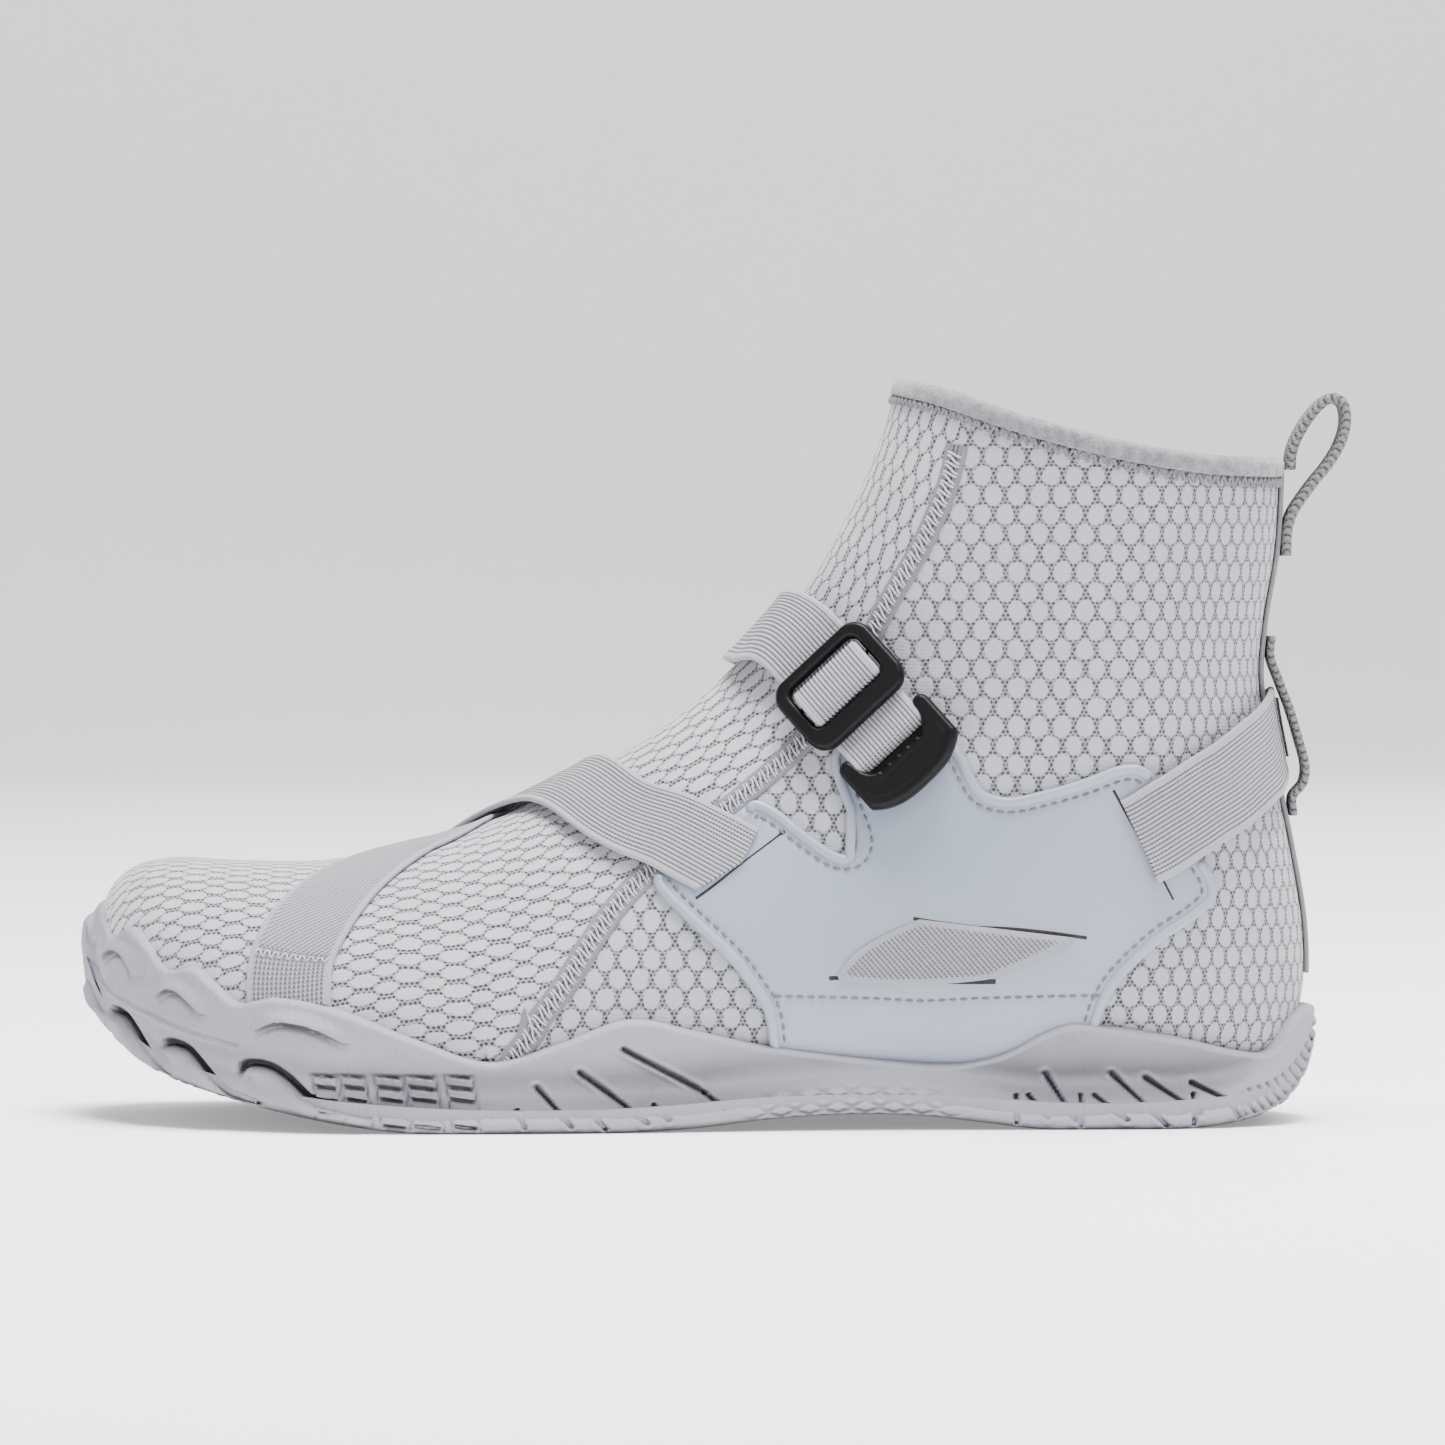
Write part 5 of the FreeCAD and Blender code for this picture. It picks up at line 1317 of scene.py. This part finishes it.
class BootFinish(bpy.types.PropertyGroup):
    """How the boot is finished."""
    strap_width: bpy.props.FloatProperty(name="Strap width", description="Width of the three crossing straps, in "
                                         "millimetres", default=20.0, min=16.0, max=20.5)
    vamp_knit: hue("Vamp knit", "Raised cells of the front panel's knit", "b2b2b8")
    quarter_knit: hue("Quarter knit", "Raised cells of the rear panels' knit", "a8a8af")
    skin: hue("Overlay", "Moulded skin of the overlays", "9197a6")
    webbing: hue("Webbing", "Ribs of the elastic straps", "a3a2aa")
    rubber: hue("Rubber", "Rubber of the sole where it isn't shaded", "8f8f98")
    plastic: hue("Plastic", "Slide and hook", "0d0d0f")
    medial: bpy.props.BoolProperty(name="Inner side", description="Build the overlay and seam of the inner side",
                                   default=True)
    thread: bpy.props.BoolProperty(name="Stitching", description="Build the sewing threads as real geometry",
                                   default=True)


class BootStage(bpy.types.PropertyGroup):
    """Where the boot is seen from and how it is lit."""
    distance: bpy.props.FloatProperty(name="Distance", description="Camera's distance from the boot in metres",
                                      default=1.865, min=0.5)
    lens: bpy.props.FloatProperty(name="Lens", description="Focal length in millimetres", default=200.0, min=20.0)
    elevation: bpy.props.FloatProperty(name="Elevation", description="Camera's height angle in degrees", default=1.5)
    light: bpy.props.FloatProperty(name="Light", description="Strength of the studio lights", default=1.0, min=0.0)


def built_sides(context):
    """The sides whose overlay is built."""
    return (1, -1) if context.scene.boot_finish.medial else (1,)


class BOOT_OT_panels(bpy.types.Operator):
    """Build the three neoprene panels"""
    bl_idname = "boot.panels"
    bl_label = "Neoprene panels"

    def execute(self, context):
        vamp = build_vamp()
        finish(vamp, "boot", "knit_vamp", ["vamp_panel"], inside="lining")
        for side in SIDE_NAMES:
            quarter = build_quarter(side)
            finish(quarter, "boot", "knit_quarter", [sided(side, "quarter")], inside="lining")
        return {"FINISHED"}


class BOOT_OT_collar(bpy.types.Operator):
    """Build the collar's binding and its stitches"""
    bl_idname = "boot.collar"
    bl_label = "Collar"

    def execute(self, context):
        finish(build_binding(), "boot", "binding", ["collar_binding"])
        if context.scene.boot_finish.thread:
            finish(build_collar_thread(), "boot", "binding", look="collar_thread")
        return {"FINISHED"}


class BOOT_OT_seams(bpy.types.Operator):
    """Build the flatlock seams between the vamp and the quarters"""
    bl_idname = "boot.seams"
    bl_label = "Seams"

    def execute(self, context):
        for side in SIDE_NAMES:
            seam, place, end = build_seam(side)
            finish(seam, "boot", "seam_tape", [sided(side, "flatlock_seam")])
            if context.scene.boot_finish.thread:
                finish(build_seam_thread(place, end, side), "boot", "seam_tape", look="thread")
        return {"FINISHED"}


class BOOT_OT_footbed(bpy.types.Operator):
    """Build the removable footbed"""
    bl_idname = "boot.footbed"
    bl_label = "Footbed"

    def execute(self, context):
        bed = build_footbed()
        finish(bed, "boot", "footbed_foam", ["footbed"])
        return {"FINISHED"}


class BOOT_OT_overlays(bpy.types.Operator):
    """Build the moulded overlays with their piping, threads, painted-shadow slits and arch bands"""
    bl_idname = "boot.overlays"
    bl_label = "Overlays"

    def execute(self, context):
        for side in built_sides(context):
            name = SIDE_NAMES[side]
            finish(build_overlay(side), "boot", "overlay_skin", [name + "_overlay"])
            for piece in build_piping(side):
                finish(piece, "boot", "piping", [name + "_overlay_piping"])
            if context.scene.boot_finish.thread:
                for piece in build_overlay_thread(side):
                    finish(piece, "boot", "overlay_skin", look="overlay_thread")
            finish(build_arch_band(side), "boot", "webbing", [name + "_arch_band"], look="arch_webbing")
            # Each slit is a dark strip of painted shadow for the gap where a band goes under the overlay.
            for label, ends in SLOTS.items():
                if side > 0 or label != "front":
                    finish(build_slot(name + "_slit_" + label, side, ends), "boot", "overlay_skin", look="slit")
        return {"FINISHED"}


class BOOT_OT_straps(bpy.types.Operator):
    """Build the elastic bands, the heel band and the heel tapes"""
    bl_idname = "boot.straps"
    bl_label = "Straps"

    def execute(self, context):
        width = context.scene.boot_finish.strap_width
        band, patch, zigzag = build_forefoot(width)
        finish(band, "boot", "webbing", ["forefoot_band"], look="low_webbing")
        finish(patch, "boot", "webbing", look="patch")
        finish(zigzag, "boot", "webbing", look="thread")
        finish(build_instep(width), "boot", "webbing", ["instep_strap"])
        finish(build_heel_strap(), "boot", "webbing", ["heel_strap"])
        ankle, bend = build_ankle(width)
        finish(ankle, "boot", "webbing", ["ankle_strap"])
        start, end = (tuple(on_buckle(r, 0.0, 0.7) * MM) for r in (-22.0, -13.4))
        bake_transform(bend)
        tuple(start)
        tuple(end)
        dress(bend, "webbing", ["ankle_strap"])
        tape, liner, keeper, loop = build_heel_tapes()
        finish(tape, "boot", "tape", ["heel_tape"])
        finish(liner, "boot", "black_plastic", ["keeper_lining"], look="liner")
        finish(keeper, "boot", "tape", ["strap_keeper_loop"])
        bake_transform(loop)
        dress(loop, "tape", ["heel_pull_loop"])
        return {"FINISHED"}


class BOOT_OT_buckle(bpy.types.Operator):
    """Build the strap's free end, the slide and the hook"""
    bl_idname = "boot.buckle"
    bl_label = "Slide and hook"

    def execute(self, context):
        for piece in build_slide():
            finish(piece, "adjuster", "black_plastic", ["slide_buckle"])
        finish(build_fold(), "adjuster", "webbing", ["slide_strap_fold"])
        finish(build_tail(), "strap_end", "webbing", ["ankle_strap_tail"])
        for piece in build_hook():
            finish(piece, "hook", "black_plastic", ["strap_hook"])
        return {"FINISHED"}


class BOOT_OT_sole(bpy.types.Operator):
    """Build the rubber sole's two rands and its tread"""
    bl_idname = "boot.sole"
    bl_label = "Sole"

    def execute(self, context):
        for piece in (build_wall(1), build_wall(-1), build_tread()):
            finish(piece, "boot", "sole_rubber", ["outsole"])
        return {"FINISHED"}


class BOOT_OT_carried(bpy.types.Operator):
    """Give the CAD solids that stay visible their materials"""
    bl_idname = "boot.carried"
    bl_label = "Carried-over solids"

    def execute(self, context):
        for node, look in (("strobel_board", "board"), ("hook_catch", "black_plastic")):
            solid = bpy.data.objects[node]
            for slot in solid.material_slots:
                slot.material = material(look)
            if not solid.material_slots:
                solid.data.materials.append(material(look))
        return {"FINISHED"}


# Studio lights: name, place in metres, width in metres and power in watts
LIGHTS = (("key", (0.8, -1.3, 1.5), 0.9, 22.0), ("fill", (-1.3, -1.6, 0.9), 1.4, 6.0),
          ("top", (0.15, -0.1, 1.7), 0.9, 95.0), ("rim", (0.6, 1.7, 1.4), 1.6, 24.0))


class BOOT_OT_stage(bpy.types.Operator):
    """Build the floor, the lights and the camera"""
    bl_idname = "boot.stage"
    bl_label = "Stage"

    def execute(self, context):
        look = context.scene.boot_stage
        a = np.linspace(0, math.pi / 2, 24)
        profile = np.concatenate([[(-6000.0, 0.0)], np.stack([2500 + 900 * np.sin(a), 900 - 900 * np.cos(a)], -1),
                                  [(3400.0, 6000.0)]])
        x = np.array([-7000.0, 7000.0])
        points = np.stack([x[:, None] + 0 * profile[:, 0], profile[:, 0] + 0 * x[:, None],
                           profile[:, 1] - 0.05 + 0 * x[:, None]], -1)
        floor = write_mesh("floor", points.reshape(-1, 3), grid_faces(*points.shape[:2])[:, ::-1],
                           uv=points[..., :2].reshape(-1, 2))
        paper = surface("pale_floor", lambda tree, field: linear("fafafa"), 0.95, lambda tree: 0.0, 0.0,
                        **{"Emission Color": (1.0,) * 4, "Emission Strength": 0.3})
        floor.data.materials.append(paper)
        for name, place, size, power in LIGHTS:
            light = bpy.data.lights.new(name, "AREA")
            light.size, light.energy = size, power * look.light
            lamp = bpy.data.objects.new(name, light)
            lamp.location = place
            away = Vector(place) - Vector((0, 0, 0.08))
            lamp.rotation_euler = away.to_track_quat("Z", "Y").to_euler()
            context.scene.collection.objects.link(lamp)
        world = bpy.data.worlds.new("studio")
        world.use_nodes = True
        world.node_tree.nodes["Background"].inputs["Color"].default_value = (1.0, 1.0, 1.0, 1.0)
        world.node_tree.nodes["Background"].inputs["Strength"].default_value = 0.45 * look.light
        context.scene.world = world
        tilt = math.radians(look.elevation)
        camera = bpy.data.objects.new("camera", bpy.data.cameras.new("camera"))
        camera.data.lens, camera.data.sensor_width = look.lens, 36.0
        camera.location = (0.00256, -look.distance * math.cos(tilt), 0.0919 + look.distance * math.sin(tilt))
        camera.rotation_euler = (math.pi / 2 - tilt, 0, 0)
        context.scene.collection.objects.link(camera)
        context.scene.camera = camera
        return {"FINISHED"}


class BOOT_PT_panel(bpy.types.Panel):
    """Boot controls"""
    bl_label = "Boot"
    bl_idname = "BOOT_PT_panel"
    bl_space_type = "VIEW_3D"
    bl_region_type = "UI"
    bl_category = "Boot"

    def draw(self, context):
        for group in (context.scene.boot_finish, context.scene.boot_stage):
            for name in group.__annotations__:
                self.layout.prop(group, name)
        for operator in OPERATORS:
            self.layout.operator(operator.bl_idname)


OPERATORS = (BOOT_OT_panels, BOOT_OT_collar, BOOT_OT_seams, BOOT_OT_footbed, BOOT_OT_overlays, BOOT_OT_straps,
             BOOT_OT_buckle, BOOT_OT_sole, BOOT_OT_carried, BOOT_OT_stage)
CLASSES = (BootFinish, BootStage) + OPERATORS + (BOOT_PT_panel,)


def register():
    for item in CLASSES:
        bpy.utils.register_class(item)
    bpy.types.Scene.boot_finish = bpy.props.PointerProperty(type=BootFinish)
    bpy.types.Scene.boot_stage = bpy.props.PointerProperty(type=BootStage)


def unregister():
    del bpy.types.Scene.boot_stage
    del bpy.types.Scene.boot_finish
    for item in reversed(CLASSES):
        bpy.utils.unregister_class(item)


def main():
    register()
    for operator in OPERATORS:
        getattr(bpy.ops.boot, operator.bl_idname.split(".")[1])()


if __name__ == "__main__":
    main()
